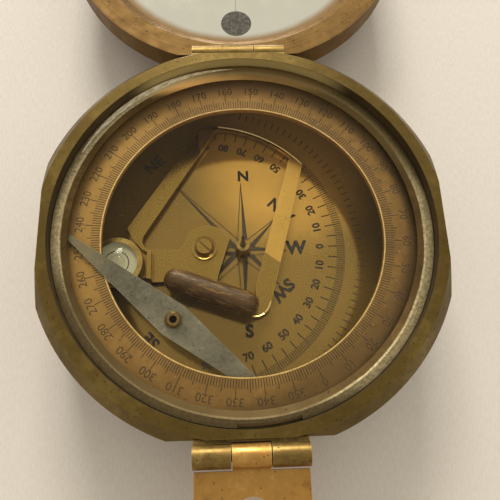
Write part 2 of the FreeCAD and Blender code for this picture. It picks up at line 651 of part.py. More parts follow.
def make_lever():
    """The back lever with its finger pad, its spring washer and its screw."""
    top = LEVER_Z + LEVER_T
    tip_x = ARM_X + LEVER_L
    edges = []
    for s in (1, -1):
        edges.append((at(ARM_X, ARM_Y + s * LEVER_HUB_R), at(tip_x, ARM_Y + s * LEVER_TIP_R)))
    outline = [Part.makeLine(*edges[0]), bend(edges[0][1], at(tip_x + LEVER_TIP_R, ARM_Y), edges[1][1]),
               Part.makeLine(edges[1][1], edges[1][0]),
               bend(edges[1][0], at(ARM_X - LEVER_HUB_R, ARM_Y), edges[0][0])]
    blade = slab(outline, LEVER_Z, top)
    pad = rod(LEVER_TIP_R, LEVER_Z - LEVER_PAD_H, top, tip_x, ARM_Y)
    lever = cut(joined(blade, pad), rod(ARBOR_NECK_R, 0, CASE_H, ARM_X, ARM_Y))
    keep("clinometer_lever", spun(lever, LEVER_DEG, ARM_X, ARM_Y))
    washer = cut(rod(SPRING_WASHER_R, top, top + SPRING_WASHER_T, ARM_X, ARM_Y),
                 rod(ARBOR_R, 0, CASE_H, ARM_X, ARM_Y))
    keep("spring_washer", washer)
    head = rod(LEVER_SCREW_R, LEVER_SCREW_Z, LEVER_Z, ARM_X, ARM_Y)
    slot = block(ARM_X - LEVER_SCREW_R, ARM_X + LEVER_SCREW_R, ARM_Y - SLOT_W / 2, ARM_Y + SLOT_W / 2,
                 LEVER_SCREW_Z - OVER, LEVER_SCREW_Z + SLOT_DEPTH / 2)
    keep("lever_screw", cut(head, slot))


def capsule(r, length):
    """A round-ended cylinder along X, from its middle."""
    half = length / 2 - r
    body = Part.makeCylinder(r, 2 * half, at(-half, 0, 0), X_AXIS)
    return joined(body, Part.makeSphere(r, at(half, 0, 0)), Part.makeSphere(r, at(-half, 0, 0)))


def bored_end_rod(r, length):
    """A rod along X, from its middle, with coned ends."""
    cone = r * VIAL_CONE_share
    half = length / 2 - cone
    body = Part.makeCylinder(r, 2 * half, at(-half, 0, 0), X_AXIS)
    tips = [Part.makeCone(r, r - cone, cone, at(s * half, 0, 0), X_AXIS * s) for s in (1, -1)]
    return joined(body, *tips)


def make_vial():
    """The tubular level: a round-ended glass tube with its filling, in a trough on the frame."""
    a = arm_point(VIAL_FROM_shares)
    b = arm_point(VIAL_TO_shares)
    length = (b - a).Length + VIAL_R
    axis_z = ARM_TOP + CRADLE_FOOT_H + CRADLE_WALL + VIAL_R
    trough_half = length * CRADLE_LENGTH_share / 2
    trough_r = VIAL_R + CRADLE_WALL
    trough = Part.makeCylinder(trough_r, 2 * trough_half, at(-trough_half, 0, 0), X_AXIS)
    trough = trough.common(block(-length, length, -trough_r, trough_r, -trough_r - OVER, -trough_r / 2))
    foot = block(-trough_half, trough_half, -CRADLE_FOOT_W / 2, CRADLE_FOOT_W / 2,
                 ARM_TOP - axis_z, -VIAL_R)
    filling = bored_end_rod(VIAL_BORE_R, length - 2 * (VIAL_R - VIAL_BORE_R))
    glass = cut(capsule(VIAL_R, length), filling)
    cradle = cut(joined(trough, foot), capsule(VIAL_R, length))
    turn = math.degrees(math.atan2(b.y - a.y, b.x - a.x))
    for name, piece in (("vial_cradle", cradle), ("vial_glass", glass), ("vial_filling", filling)):
        piece.rotate(at(0, 0, 0), Z_AXIS, turn)
        piece.translate(at((a.x + b.x) / 2, (a.y + b.y) / 2, axis_z))
        keep(name, piece)


def make_bull():
    """The round level: a brass cup, its filling and a domed glass under the cup's lip."""
    place = arm_point((BULL_X_share, BULL_Y_share))
    low = ARM_TOP
    floor = low + BULL_FLOOR
    top = low + BULL_CUP_H
    seat = top - BULL_LIP_T
    bore = BULL_R - BULL_WALL
    cup = turned([(0, low), (BULL_R, low), (BULL_R, top), (BULL_GLASS_R, top), (BULL_GLASS_R, seat),
                  (bore, seat), (bore, floor), (0, floor)], place.x, place.y)
    keep("bullseye_cup", cup)
    keep("bullseye_filling", rod(bore, floor, seat - BULL_LIP_T, place.x, place.y))
    rise = BULL_DOME_H
    sphere_r = (BULL_GLASS_R ** 2 + rise ** 2) / (2 * rise)
    dome = Part.makeSphere(sphere_r, at(place.x, place.y, top + rise - sphere_r))
    dome = dome.common(rod(BULL_GLASS_R, top, top + rise + OVER, place.x, place.y))
    stem = rod(BULL_GLASS_R, seat, top, place.x, place.y)
    skirt = rod(bore, seat - BULL_LIP_T, seat, place.x, place.y)
    keep("bullseye_glass", joined(skirt, stem, dome))


def flatted(solid):
    """The lid's outline: four flats cut from the round."""
    return solid.common(block(-LID_FLAT, LID_FLAT, -LID_FLAT, LID_FLAT, 0, CASE_H + LID_H + OVER))


def opened(shape):
    """A lid piece that was made closed, turned half round its hinge."""
    copy = shape.copy()
    copy.rotate(at(0, LID_AXIS_Y, LID_AXIS_Z), X_AXIS, HALF_TURN)
    return copy


def sight_notch():
    """The room in the lid's far side that the sight arm's root passes through."""
    half = PLATE_HALF_W + LID_NOTCH_ROOM
    inner = math.sqrt(MIRROR_RING_IN_R ** 2 - half ** 2)
    return block(-half, half, -LID_R - OVER, -inner, CASE_H - OVER, CASE_H + LID_NOTCH_H)


def make_lid():
    """The lid's shell, the mirror with its backing and sighting window, and its retaining ring."""
    low = CASE_H + LID_REST_GAP
    top = CASE_H + LID_H
    floor = top - LID_TOP_T
    corner = LID_R - LID_ROUND
    arc_r = LID_ROUND / math.sqrt(2)
    mid = at(corner + arc_r, 0, top - LID_ROUND + arc_r)
    edges = run([at(corner, 0, top), at(0, 0, top), at(0, 0, floor), at(LID_RIM_IN_R, 0, floor),
                 at(LID_RIM_IN_R, 0, low), at(LID_R, 0, low), at(LID_R, 0, top - LID_ROUND)])
    edges.append(bend(at(LID_R, 0, top - LID_ROUND), mid, at(corner, 0, top)))
    shell = flatted(Part.Face(Part.Wire(edges)).revolve(at(0, 0, 0), Z_AXIS, FULL_TURN))
    window = rod(WINDOW_R, CASE_H, top + OVER, 0, WINDOW_Y)
    keep("lid_shell", opened(cut(shell, window, sight_notch(), *lid_leaf_screws(False))))
    face = CASE_H + MIRROR_DEPTH
    back = face + MIRROR_T
    keep("mirror", opened(cut(rod(MIRROR_R, face, back), window)))
    keep("window_glass", opened(rod(WINDOW_R, face, back, 0, WINDOW_Y)))
    keep("mirror_backing", opened(cut(rod(MIRROR_R, back, floor), window)))
    ring = turned([(MIRROR_RING_IN_R, face), (LID_RIM_IN_R, face), (LID_RIM_IN_R, CASE_H + MIRROR_RING_STEP),
                   (LID_RIM_IN_R - MIRROR_RING_STEP, CASE_H + MIRROR_RING_STEP)])
    keep("mirror_ring", opened(cut(ring, sight_notch())))


def leaf_top(side):
    """Height of a case leaf's upper edge. side is 1 at +Y."""
    if side > 0:
        return LID_AXIS_Z + LID_BARREL_R + LEAF_TOP_GAP / 2
    return CASE_H - LEAF_TOP_GAP


def leaf_and_knuckles(side, axis_y, axis_z, barrel_r, pin_r):
    """A case leaf with its two outer knuckles, and room for the middle one. side is 1 at +Y."""
    top = leaf_top(side)
    inner = side * CASE_FLAT
    outer = side * (CASE_FLAT + LEAF_T)
    leaf = block(-HINGE_HALF_W, HINGE_HALF_W, min(inner, outer), max(inner, outer), top - LEAF_DROP, top)
    room = cross_rod(barrel_r + KNUCKLE_ROOM, -KNUCKLE_HALF_W - PLAY, KNUCKLE_HALF_W + PLAY, axis_y, axis_z)
    leaf = cut(leaf, room)
    for s in (1, -1):
        ends = sorted((s * HINGE_HALF_W, s * (KNUCKLE_HALF_W + PLAY)))
        leaf = leaf.fuse(cross_rod(barrel_r, ends[0], ends[1], axis_y, axis_z))
    leaf = cut(leaf, cross_rod(pin_r, -HINGE_HALF_W - OVER, HINGE_HALF_W + OVER, axis_y, axis_z))
    return cut(leaf, *hinge_screws(side, False))


def hinge_screws(side, slotted=True):
    """The two screws of a case leaf. Unslotted, they are the holes that they fill."""
    outer = CASE_FLAT + LEAF_T
    z = leaf_top(side) - LEAF_DROP + HINGE_SCREW_RISE
    made = []
    for x in (-HINGE_SCREW_X, HINGE_SCREW_X):
        far = outer + (0 if slotted else OVER)
        head = Part.makeCylinder(HINGE_SCREW_HEAD_R, far - outer + HINGE_SCREW_HEAD_H,
                                 at(x, side * far, z), Y_AXIS * -side)
        shank = Part.makeCylinder(HINGE_SCREW_R, HINGE_SCREW_L, at(x, side * outer, z), Y_AXIS * -side)
        screw = joined(head, shank)
        if slotted:
            deep = outer - HINGE_SCREW_HEAD_H / 2
            ys = sorted((side * deep, side * (outer + OVER)))
            screw = cut(screw, block(x - HINGE_SCREW_HEAD_R, x + HINGE_SCREW_HEAD_R, ys[0], ys[1],
                                     z - SLOT_W / 4, z + SLOT_W / 4))
        made.append(screw)
    return made


def lid_leaf_screws(slotted=True):
    """The two screws of the lid's leaf, made closed."""
    outer = LID_FLAT + LEAF_T
    z = CASE_H + LID_LEAF_GAP + LID_LEAF_RISE / 2
    made = []
    for x in (-HINGE_SCREW_X, HINGE_SCREW_X):
        far = outer + (0 if slotted else OVER)
        head = Part.makeCylinder(HINGE_SCREW_HEAD_R, far - outer + HINGE_SCREW_HEAD_H, at(x, far, z), -Y_AXIS)
        shank = Part.makeCylinder(HINGE_SCREW_R, HINGE_SCREW_L, at(x, outer, z), -Y_AXIS)
        screw = joined(head, shank)
        if slotted:
            slot = block(x - HINGE_SCREW_HEAD_R, x + HINGE_SCREW_HEAD_R, outer - HINGE_SCREW_HEAD_H / 2,
                         outer + OVER, z - SLOT_W / 4, z + SLOT_W / 4)
            screw = cut(screw, slot)
        made.append(screw)
    return made


def make_lid_hinge():
    """The lid's hinge: case leaf with two knuckles, lid leaf with the middle one, and the pin."""
    keep("lid_hinge_case_leaf", leaf_and_knuckles(1, LID_AXIS_Y, LID_AXIS_Z, LID_BARREL_R, LID_PIN_R))
    low = CASE_H + LID_LEAF_GAP
    plate = block(-HINGE_HALF_W, HINGE_HALF_W, LID_FLAT, LID_FLAT + LEAF_T, low, low + LID_LEAF_RISE)
    out = LID_AXIS_Y + LID_WEB_HALF_T
    shelf = block(-KNUCKLE_HALF_W, KNUCKLE_HALF_W, LID_FLAT + LEAF_T, out, low, low + LEAF_T)
    web = block(-KNUCKLE_HALF_W, KNUCKLE_HALF_W, LID_AXIS_Y - LID_WEB_HALF_T, out, LID_AXIS_Z, low + LEAF_T)
    barrel = cross_rod(LID_BARREL_R, -KNUCKLE_HALF_W, KNUCKLE_HALF_W, LID_AXIS_Y, LID_AXIS_Z)
    bore = cross_rod(LID_PIN_R + RUN, -HINGE_HALF_W, HINGE_HALF_W, LID_AXIS_Y, LID_AXIS_Z)
    leaf = cut(joined(plate, shelf, web, barrel), bore, *lid_leaf_screws(False))
    keep("lid_hinge_lid_leaf", opened(leaf))
    keep("lid_hinge_pin", cross_rod(LID_PIN_R, -HINGE_HALF_W, HINGE_HALF_W, LID_AXIS_Y, LID_AXIS_Z))
    keep("case_hinge_screws", Part.makeCompound(hinge_screws(1) + hinge_screws(-1)))
    keep("lid_hinge_screws", Part.makeCompound([opened(s) for s in lid_leaf_screws()]))


def plate_y(distance):
    """Y of a point on the open sight arm, at this distance from its hinge's axis."""
    return SIGHT_AXIS_Y - distance


def make_sight_arm():
    """The sight arm: a tapered plate with a long slot, its knuckle, and knuckles at its tip."""
    keep("sight_hinge_leaf", leaf_and_knuckles(-1, SIGHT_AXIS_Y, SIGHT_AXIS_Z, SIGHT_BARREL_R, SIGHT_PIN_R))
    keep("sight_hinge_pin", cross_rod(SIGHT_PIN_R, -HINGE_HALF_W, HINGE_HALF_W, SIGHT_AXIS_Y, SIGHT_AXIS_Z))
    low = SIGHT_AXIS_Z - SIGHT_BARREL_R
    top = low + PLATE_T
    w, t = PLATE_HALF_W, PLATE_TIP_HALF_W
    corners = [at(-w, plate_y(PLATE_START)), at(-w, plate_y(PLATE_TAPER_FROM)), at(-t, plate_y(PLATE_L)),
               at(t, plate_y(PLATE_L)), at(w, plate_y(PLATE_TAPER_FROM)), at(w, plate_y(PLATE_START))]
    plate = slab(run(corners + corners[:1]), low, top)
    root = block(-KNUCKLE_HALF_W, KNUCKLE_HALF_W, plate_y(PLATE_START), SIGHT_AXIS_Y, low, top)
    barrel = cross_rod(SIGHT_BARREL_R, -KNUCKLE_HALF_W, KNUCKLE_HALF_W, SIGHT_AXIS_Y, SIGHT_AXIS_Z)
    tip_z = top + TIP_AXIS_RISE
    knuckles = cross_rod(TIP_BARREL_R, -TIP_KNUCKLE_END, TIP_KNUCKLE_END, plate_y(PLATE_L), tip_z)
    plate = joined(plate, root, barrel, knuckles)
    room = cross_rod(TIP_BARREL_R + KNUCKLE_ROOM, -TIP_KNUCKLE_HALF_W - PLAY, TIP_KNUCKLE_HALF_W + PLAY,
                     plate_y(PLATE_L), tip_z)
    near = plate_y(SLOT_FROM + SLOT_HALF_W)
    far = plate_y(SLOT_TO)
    slot = joined(
        block(-SLOT_HALF_W, SLOT_HALF_W, far, near, low - OVER, top + OVER),
        rod(SLOT_HALF_W, low - OVER, top + OVER, 0, near),
        rod(SLOT_HALF_W, low - OVER, top + OVER, 0, far))
    bore = cross_rod(SIGHT_PIN_R + RUN, -HINGE_HALF_W, HINGE_HALF_W, SIGHT_AXIS_Y, SIGHT_AXIS_Z)
    tip_bore = cross_rod(TIP_PIN_R, -TIP_KNUCKLE_END - OVER, TIP_KNUCKLE_END + OVER, plate_y(PLATE_L), tip_z)
    keep("sight_arm", cut(plate, room, slot, bore, tip_bore))
    keep("tip_sight_pin", cross_rod(TIP_PIN_R, -TIP_KNUCKLE_END, TIP_KNUCKLE_END, plate_y(PLATE_L), tip_z))
    keep("tip_sight", folding_sight(plate_y(PLATE_L), tip_z, TIP_BARREL_R, TIP_PIN_R, TIP_KNUCKLE_HALF_W,
                                    TIP_SIGHT_HALF_W, TIP_SIGHT_T, TIP_SIGHT_L))


def folding_sight(y, z, barrel_r, pin_r, knuckle, half_w, thick, length):
    """A small sight vane folded down flat: a knuckle, and a plate with a peep hole and a notch."""
    low = z + barrel_r - thick
    start = y + barrel_r + KNUCKLE_ROOM
    end = y + length
    corner = half_w / 2
    outline = run([at(-half_w, start), at(half_w, start), at(half_w, end - corner)])
    outline += [bend(at(half_w, end - corner), at(0, end), at(-half_w, end - corner))]
    outline += run([at(-half_w, end - corner), at(-half_w, start)])
    vane = slab(outline, low, low + thick)
    root = block(-knuckle, knuckle, y, start + OVER / 2, low, low + thick)
    vane = joined(vane, root, cross_rod(barrel_r, -knuckle, knuckle, y, z))
    hole = rod(PEEP_R, low - OVER, low + thick + OVER, 0, end - PEEP_FROM_TOP)
    return cut(vane, hole, cross_rod(pin_r + RUN, -half_w, half_w, y, z))


def make_lid_sight():
    """The small folding sight on the lid's back, near its far edge, made closed."""
    base = CASE_H + LID_H
    z = base + LID_SIGHT_BARREL_R
    y = LID_SIGHT_Y
    end = LID_SIGHT_HALF_W
    leaf = block(-end, end, y, y + LID_SIGHT_LEAF_L, base, base + LID_SIGHT_LEAF_T)
    leaf = joined(leaf, cross_rod(LID_SIGHT_BARREL_R, -end, end, y, z))
    room = cross_rod(LID_SIGHT_BARREL_R + KNUCKLE_ROOM, -LID_SIGHT_KNUCKLE_HALF_W - PLAY,
                     LID_SIGHT_KNUCKLE_HALF_W + PLAY, y, z)
    leaf = cut(leaf, room, cross_rod(LID_SIGHT_PIN_R, -end - OVER, end + OVER, y, z))
    keep("lid_sight_leaf", opened(leaf))
    keep("lid_sight_pin", opened(cross_rod(LID_SIGHT_PIN_R, -end, end, y, z)))
    vane = folding_sight(y, z, LID_SIGHT_BARREL_R, LID_SIGHT_PIN_R, LID_SIGHT_KNUCKLE_HALF_W,
                         end, LID_SIGHT_T, LID_SIGHT_L)
    keep("lid_sight", opened(vane))


def main():
    """Builds every piece and writes one STEP file for each node."""
    keep("case_body", make_case())
    keep("dial_plate", make_dial())
    keep("base_screws", Part.makeCompound([base_screw(x, y) for x, y in base_screw_places()]))
    make_pivot()
    keep("azimuth_ring", make_ring())
    make_pinion()
    make_glazing()
    make_needle()
    make_arm()
    make_arbor()
    make_vial()
    make_bull()
    make_lid()
    make_lid_hinge()
    make_sight_arm()
    make_lid_sight()
    os.makedirs("parts", exist_ok=True)
    for name, shape in NODES.items():
        print(name, "solids", len(shape.Solids), "valid", shape.isValid(), "volume", round(shape.Volume, 2))
        shape.exportStep(os.path.join("parts", name + ".step"))


main()
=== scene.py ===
"""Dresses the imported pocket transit: aged brass, glass and steel finishes, the engraved dial and
azimuth ring, the bubble of its round level, and the table that it lies on. Lengths are in
millimetres where they are written and in metres in the meshes."""
import logging
import math
from dataclasses import dataclass
from enum import Enum
from functools import lru_cache
from typing import Callable, Optional, Sequence, Union

import bmesh
import bpy
from mathutils import Matrix, Vector


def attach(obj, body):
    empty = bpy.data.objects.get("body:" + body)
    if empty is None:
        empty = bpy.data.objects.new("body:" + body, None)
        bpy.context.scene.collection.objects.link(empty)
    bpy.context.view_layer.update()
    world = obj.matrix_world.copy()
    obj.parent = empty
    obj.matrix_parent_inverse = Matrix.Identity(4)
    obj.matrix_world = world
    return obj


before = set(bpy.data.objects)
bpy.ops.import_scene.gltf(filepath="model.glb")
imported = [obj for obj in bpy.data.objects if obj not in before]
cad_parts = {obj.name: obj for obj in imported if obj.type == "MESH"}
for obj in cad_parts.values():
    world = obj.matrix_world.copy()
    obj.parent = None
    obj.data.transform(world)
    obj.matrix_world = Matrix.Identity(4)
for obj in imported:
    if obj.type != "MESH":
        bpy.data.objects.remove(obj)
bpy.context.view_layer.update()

LOG = logging.getLogger("pocket_transit")
MM = 0.001
IMAGE_PX = 500
SENSOR_MM = 36.0

# How far a thin mark reaches into its face and stands above it, mm
SUNK = 0.01
PROUD = 0.015
THIN = 0.012

# Scales that the finishes share, per metre or in metres
PIT_CELLS = 1500.0
PIT_SIZE = 0.34
DUST_CELLS = 1900.0
STAIN_CLOUDS = 1400.0
ROUGH_CLOUDS = 240.0
CAST_GRAIN = 1800.0
RECESS_REACH = 0.0018
WEAR_WIDTH = 0.00028
METAL_RELIEF = 0.00006
PLAIN_RELIEF = 0.0001

# Rays that look for edges and corners, and how high a capital is in a font of size 1
SAMPLES = 6
CAPITAL = 0.73

# Points nearer than this are joined, and a radius under this is on the axis
JOINED = 1e-7
ON_AXIS = 1e-9

Point = tuple[float, float]
Triple = tuple[float, float, float]
Shade = tuple[float, float, float, float]
Socket = bpy.types.NodeSocket
Value = Union[Socket, float, Sequence[float]]
Material = bpy.types.Material
NodeTree = bpy.types.NodeTree
BMesh = bmesh.types.BMesh
Loop = list[bmesh.types.BMVert]

ORIGIN: Triple = (0.0, 0.0, 0.0)
BLACK: Shade = (0.0, 0.0, 0.0, 1.0)
# Near-black that pits, soiling and painted shade darken towards
SOOT_AND_SHADE: Shade = (0.012, 0.009, 0.004, 1.0)


def srgb(red: float, green: float, blue: float) -> Shade:
    """Turns a screen colour into the linear one that a shader takes.

    Args:
        red: Red, 0 to 255.
        green: Green, 0 to 255.
        blue: Blue, 0 to 255.

    Returns:
        The linear colour, with an alpha of 1.
    """
    def straight(part: float) -> float:
        """One channel, made linear."""
        share = part / 255.0
        return share / 12.92 if share <= 0.04045 else ((share + 0.055) / 1.055) ** 2.4
    return (straight(red), straight(green), straight(blue), 1.0)


def polar(centre: Point, radius: float, angle: float) -> Point:
    """A point on a circle.

    Args:
        centre: The circle's middle.
        radius: Its radius.
        angle: The point's direction, degrees.

    Returns:
        The point.
    """
    a = math.radians(angle)
    return (centre[0] + radius * math.cos(a), centre[1] + radius * math.sin(a))


class Grain(Enum):
    """How a metal surface was worked."""

    TURNED = "turned"
    BRUSHED = "brushed"
    CAST = "cast"


class Side(Enum):
    """Which half of a star's arm is filled, looking out from the middle."""

    LEFT = 1
    RIGHT = -1


class Tree:
    """A node tree that is written as short expressions."""

    def __init__(self, tree: NodeTree) -> None:
        """Takes the tree to write into."""
        self.tree = tree

    def feed(self, socket: Socket, value: Value) -> None:
        """Links a socket, or sets its own value.

        Args:
            socket: The input.
            value: Another node's output, or a constant.
        """
        if isinstance(value, bpy.types.NodeSocket):
            self.tree.links.new(value, socket)
        else:
            socket.default_value = value

    def add(self, kind: str, sockets: Optional[dict[Union[str, int], Value]] = None,
            **settings: object) -> bpy.types.Node:
        """Adds a node.

        Args:
            kind: The node's type name.
            sockets: Its inputs by name or number.
            **settings: Its own properties.

        Returns:
            The node.
        """
        node = self.tree.nodes.new(kind)
        for name, setting in settings.items():
            setattr(node, name, setting)
        for name, value in (sockets or {}).items():
            self.feed(node.inputs[name], value)
        return node

    def maths(self, operation: str, a: Value, b: Value, clamp: bool = False) -> Socket:
        """The result of one sum.

        Args:
            operation: What to do, such as ADD.
            a: First value.
            b: Second value.
            clamp: Whether the result is kept from 0 to 1.

        Returns:
            The node's output.
        """
        return self.add("ShaderNodeMath", {0: a, 1: b}, operation=operation, use_clamp=clamp).outputs[0]

    def times(self, a: Value, b: Value, clamp: bool = False) -> Socket:
        """One value times another."""
        return self.maths("MULTIPLY", a, b, clamp)

    def plus(self, a: Value, b: Value, clamp: bool = False) -> Socket:
        """The sum of two values."""
        return self.maths("ADD", a, b, clamp)

    def less(self, a: Value, b: Value, clamp: bool = False) -> Socket:
        """One value less another."""
        return self.maths("SUBTRACT", a, b, clamp)

    def vector(self, operation: str, a: Value, b: Value = ORIGIN) -> Socket:
        """The result of one sum of vectors.

        Args:
            operation: What to do, such as SUBTRACT or LENGTH.
            a: First vector.
            b: Second vector.

        Returns:
            The vector, or the number where the sum gives one.
        """
        node = self.add("ShaderNodeVectorMath", {0: a, 1: b}, operation=operation)
        return node.outputs["Vector" if operation in ("SUBTRACT", "MULTIPLY") else "Value"]

    def blend(self, factor: Value, a: Value, b: Value) -> Socket:
        """A mix of two colours.

        Args:
            factor: Share of the second.
            a: First colour.
            b: Second colour.

        Returns:
            The mixed colour.
        """
        return self.add("ShaderNodeMix", {0: factor, 6: a, 7: b}, data_type="RGBA").outputs[2]

    def noise(self, vector: Value, scale: Value, detail: float = 4.0, rough: float = 0.6) -> Socket:
        """A noise value.

        Args:
            vector: Where.
            scale: How fine, per metre.
            detail: Octaves.
            rough: How strong the fine ones are.

        Returns:
            A value near 0.5.
        """
        sockets = {"Vector": vector, "Scale": scale, "Detail": detail, "Roughness": rough}
        return self.add("ShaderNodeTexNoise", sockets).outputs[0]

    def ease(self, value: Value, low: Value, high: Value, to_low: float = 0.0,
             to_high: float = 1.0) -> Socket:
        """A smooth step from low to high.

        Args:
            value: What is tested.
            low: Where the step starts.
            high: Where it ends.
            to_low: Result at the start.
            to_high: Result at the end.

        Returns:
            The stepped value.
        """
        sockets = {0: value, 1: low, 2: high, 3: to_low, 4: to_high}
        return self.add("ShaderNodeMapRange", sockets, interpolation_type="SMOOTHSTEP").outputs[0]


class Effects:
    """The effects that several finishes share, each a node group that is made once."""

    def __init__(self) -> None:
        """Makes every group."""
        self.wear = self.make_wear()
        self.patina = self.make_patina()
        self.turning = self.make_turning()
        self.brushing = self.make_brushing()
        self.speckle = self.make_speckle()
        self.grime = self.make_grime()
        self.zone = self.make_zone()

    def start(self, name: str, **inputs: Value) -> tuple[Tree, dict[str, Socket]]:
        """Begins a group that takes a vector.

        Args:
            name: The group's name.
            **inputs: Default of each other input, which also settles its kind.

        Returns:
            The tree and its input sockets.
        """
        tree = bpy.data.node_groups.new(name, "ShaderNodeTree")
        inputs = {"Vector": ORIGIN, **inputs}
        for label, default in inputs.items():
            kind = "Float"
            if not isinstance(default, float):
                kind = "Vector" if len(default) == 3 else "Color"
            kind = f"NodeSocket{kind}"
            socket = tree.interface.new_socket(name=label, in_out="INPUT", socket_type=kind)
            socket.default_value = default
        source = tree.nodes.new("NodeGroupInput")
        return Tree(tree), {label: source.outputs[label] for label in inputs}

    def end(self, made: Tree, label: str, value: Socket, kind: str = "Float") -> NodeTree:
        """Gives a group its output.

        Args:
            made: The group's tree.
            label: The output's name.
            value: What it puts out.
            kind: Float or Color.

        Returns:
            The group.
        """
        made.tree.interface.new_socket(name=label, in_out="OUTPUT", socket_type=f"NodeSocket{kind}")
        made.feed(made.tree.nodes.new("NodeGroupOutput").inputs[label], value)
        return made.tree

    def make_wear(self) -> NodeTree:
        """Rubbed edges: where a rounded normal leaves the true one, broken up by noise."""
        made, given = self.start("edge_wear", Radius=0.0003, Amount=0.6, Scale=700.0)
        soft = made.add("ShaderNodeBevel", {"Radius": given["Radius"]}, samples=SAMPLES)
        true = made.add("ShaderNodeNewGeometry")
        dot = made.vector("DOT_PRODUCT", soft.outputs[0], true.outputs["Normal"])
        patchy = made.noise(given["Vector"], given["Scale"], 4.0, 0.7)
        edge = made.ease(made.times(made.less(1.0, dot), made.plus(patchy, 0.4)), 0.01, 0.2)
        return self.end(made, "Mask", made.times(edge, given["Amount"], True))

    def make_patina(self) -> NodeTree:
        """Aged colour: broad clouds and fine mottling between a dark, a middle and a bright tone."""
        made, given = self.start("patina", Bright=BLACK, Middle=BLACK, Dark=BLACK, Scale=60.0)
        broad = made.noise(given["Vector"], given["Scale"], 3.0, 0.55)
        fine = made.noise(given["Vector"], made.times(given["Scale"], 9.0), 6.0, 0.7)
        mixed = made.plus(made.times(broad, 0.6), made.times(fine, 0.4))
        dull = made.blend(made.ease(mixed, 0.34, 0.5), given["Dark"], given["Middle"])
        colour = made.blend(made.ease(mixed, 0.5, 0.66), dull, given["Bright"])
        return self.end(made, "Color", colour, "Color")

    def make_turning(self) -> NodeTree:
        """Fine rings left by a lathe, round the vector's own Z axis."""
        made, given = self.start("turning", Rings=4000.0)
        parts = made.add("ShaderNodeSeparateXYZ", {0: given["Vector"]})
        flat = made.add("ShaderNodeCombineXYZ", {0: parts.outputs[0], 1: parts.outputs[1]})
        radius = made.vector("LENGTH", flat.outputs[0])
        wander = made.times(made.noise(given["Vector"], 25.0, 1.0, 0.5), 0.0012)
        line = made.add("ShaderNodeCombineXYZ", {0: radius, 1: parts.outputs[2], 2: wander})
        return self.end(made, "Height", made.noise(line.outputs[0], given["Rings"], 2.0, 0.6))

    def make_brushing(self) -> NodeTree:
        """Long fine scratches along one direction of the vector."""
        made, given = self.start("brushing", Stretch=(1.0, 1.0, 1.0))
        drawn = made.vector("MULTIPLY", given["Vector"], given["Stretch"])
        return self.end(made, "Height", made.noise(drawn, 1.0, 3.0, 0.7))

    def make_speckle(self) -> NodeTree:
        """Small round marks, such as pits or dust, on a share of the cells."""
        made, given = self.start("speckle", Scale=900.0, Share=0.2, Size=0.3)
        cells = made.add("ShaderNodeTexVoronoi", {"Vector": given["Vector"], "Scale": given["Scale"]})
        core = made.times(given["Size"], 0.4)
        spot = made.ease(cells.outputs["Distance"], core, given["Size"], 1.0, 0.0)
        pick = made.add("ShaderNodeSeparateColor", {0: cells.outputs["Color"]}).outputs[0]
        chosen = made.maths("LESS_THAN", pick, given["Share"])
        return self.end(made, "Mask", made.times(spot, chosen, True))

    def make_grime(self) -> NodeTree:
        """A mask for painted shade and soiling in corners and recesses, found by ambient occlusion."""
        made, given = self.start("grime", Distance=0.0015, Amount=0.6)
        bare = made.add("ShaderNodeAmbientOcclusion", {"Distance": given["Distance"]}, samples=SAMPLES)
        patchy = made.noise(given["Vector"], 900.0, 4.0, 0.7)
        deep = made.times(made.less(1.0, bare.outputs["AO"]), made.plus(patchy, 0.5))
        return self.end(made, "Mask", made.times(made.ease(deep, 0.15, 0.75), given["Amount"], True))

    def make_zone(self) -> NodeTree:
        """A patch's region: 1 outside a circle with a ragged, soft edge, and 0 inside it."""
        made, given = self.start("patch_zone", Centre=ORIGIN, Radius=0.02, Soft=0.004, Ragged=0.004)
        away = made.vector("DISTANCE", given["Vector"], given["Centre"])
        wobble = made.less(made.noise(given["Vector"], 160.0, 5.0, 0.65), 0.5)
        reach = made.plus(away, made.times(wobble, given["Ragged"]))
        edge = made.ease(reach, given["Radius"], made.plus(given["Radius"], given["Soft"]))
        return self.end(made, "Mask", edge)


@lru_cache(maxsize=None)
def shared_effects() -> Effects:
    """The effects, made at their first use."""
    return Effects()


class Paint(Tree):
    """A material in the making, with its shader, its object coordinates and the shared effects."""

    def __init__(self, name: str) -> None:
        """Makes a material of that name."""
        self.material = bpy.data.materials.new(name)
        self.material.use_nodes = True
        super().__init__(self.material.node_tree)
        self.shader = self.tree.nodes["Principled BSDF"]
        self.place = self.add("ShaderNodeTexCoord").outputs["Object"]
        self.effects = shared_effects()

    def effect(self, tree: NodeTree, **values: Value) -> Socket:
        """A shared effect with its own values, laid on by the object coordinates."""
        return self.add("ShaderNodeGroup", {"Vector": self.place, **values}, node_tree=tree).outputs[0]

    def shade(self, name: str, value: Value) -> None:
        """Gives the shader's input of that name a value."""
        self.feed(self.shader.inputs[name], value)

    def relief(self, height: Value, strength: float, distance: float) -> None:
        """Raises the surface by a height.

        Args:
            height: The height.
            strength: How much of it shows.
            distance: What a height of 1 stands for, metres.
        """
        sockets = {"Height": height, "Strength": strength, "Distance": distance}
        self.shade("Normal", self.add("ShaderNodeBump", sockets).outputs[0])


@dataclass(frozen=True)
class Stain:
    """A region of another colour on a finish, used both for real discolouring and for painted light and
    shade.

    Attributes:
        colour: What it darkens or warms to.
        centre: Middle of the clean circle, mm.
        radius: Where the stain starts, mm.
        soft: Width of its edge, mm.
        ragged: How far the edge wanders, mm.
        strength: How strong it is.
        mottle: How much its strength wanders.
    """

    colour: Shade
    centre: Triple
    radius: float
    soft: float
    ragged: float
    strength: float
    mottle: float = 0.0


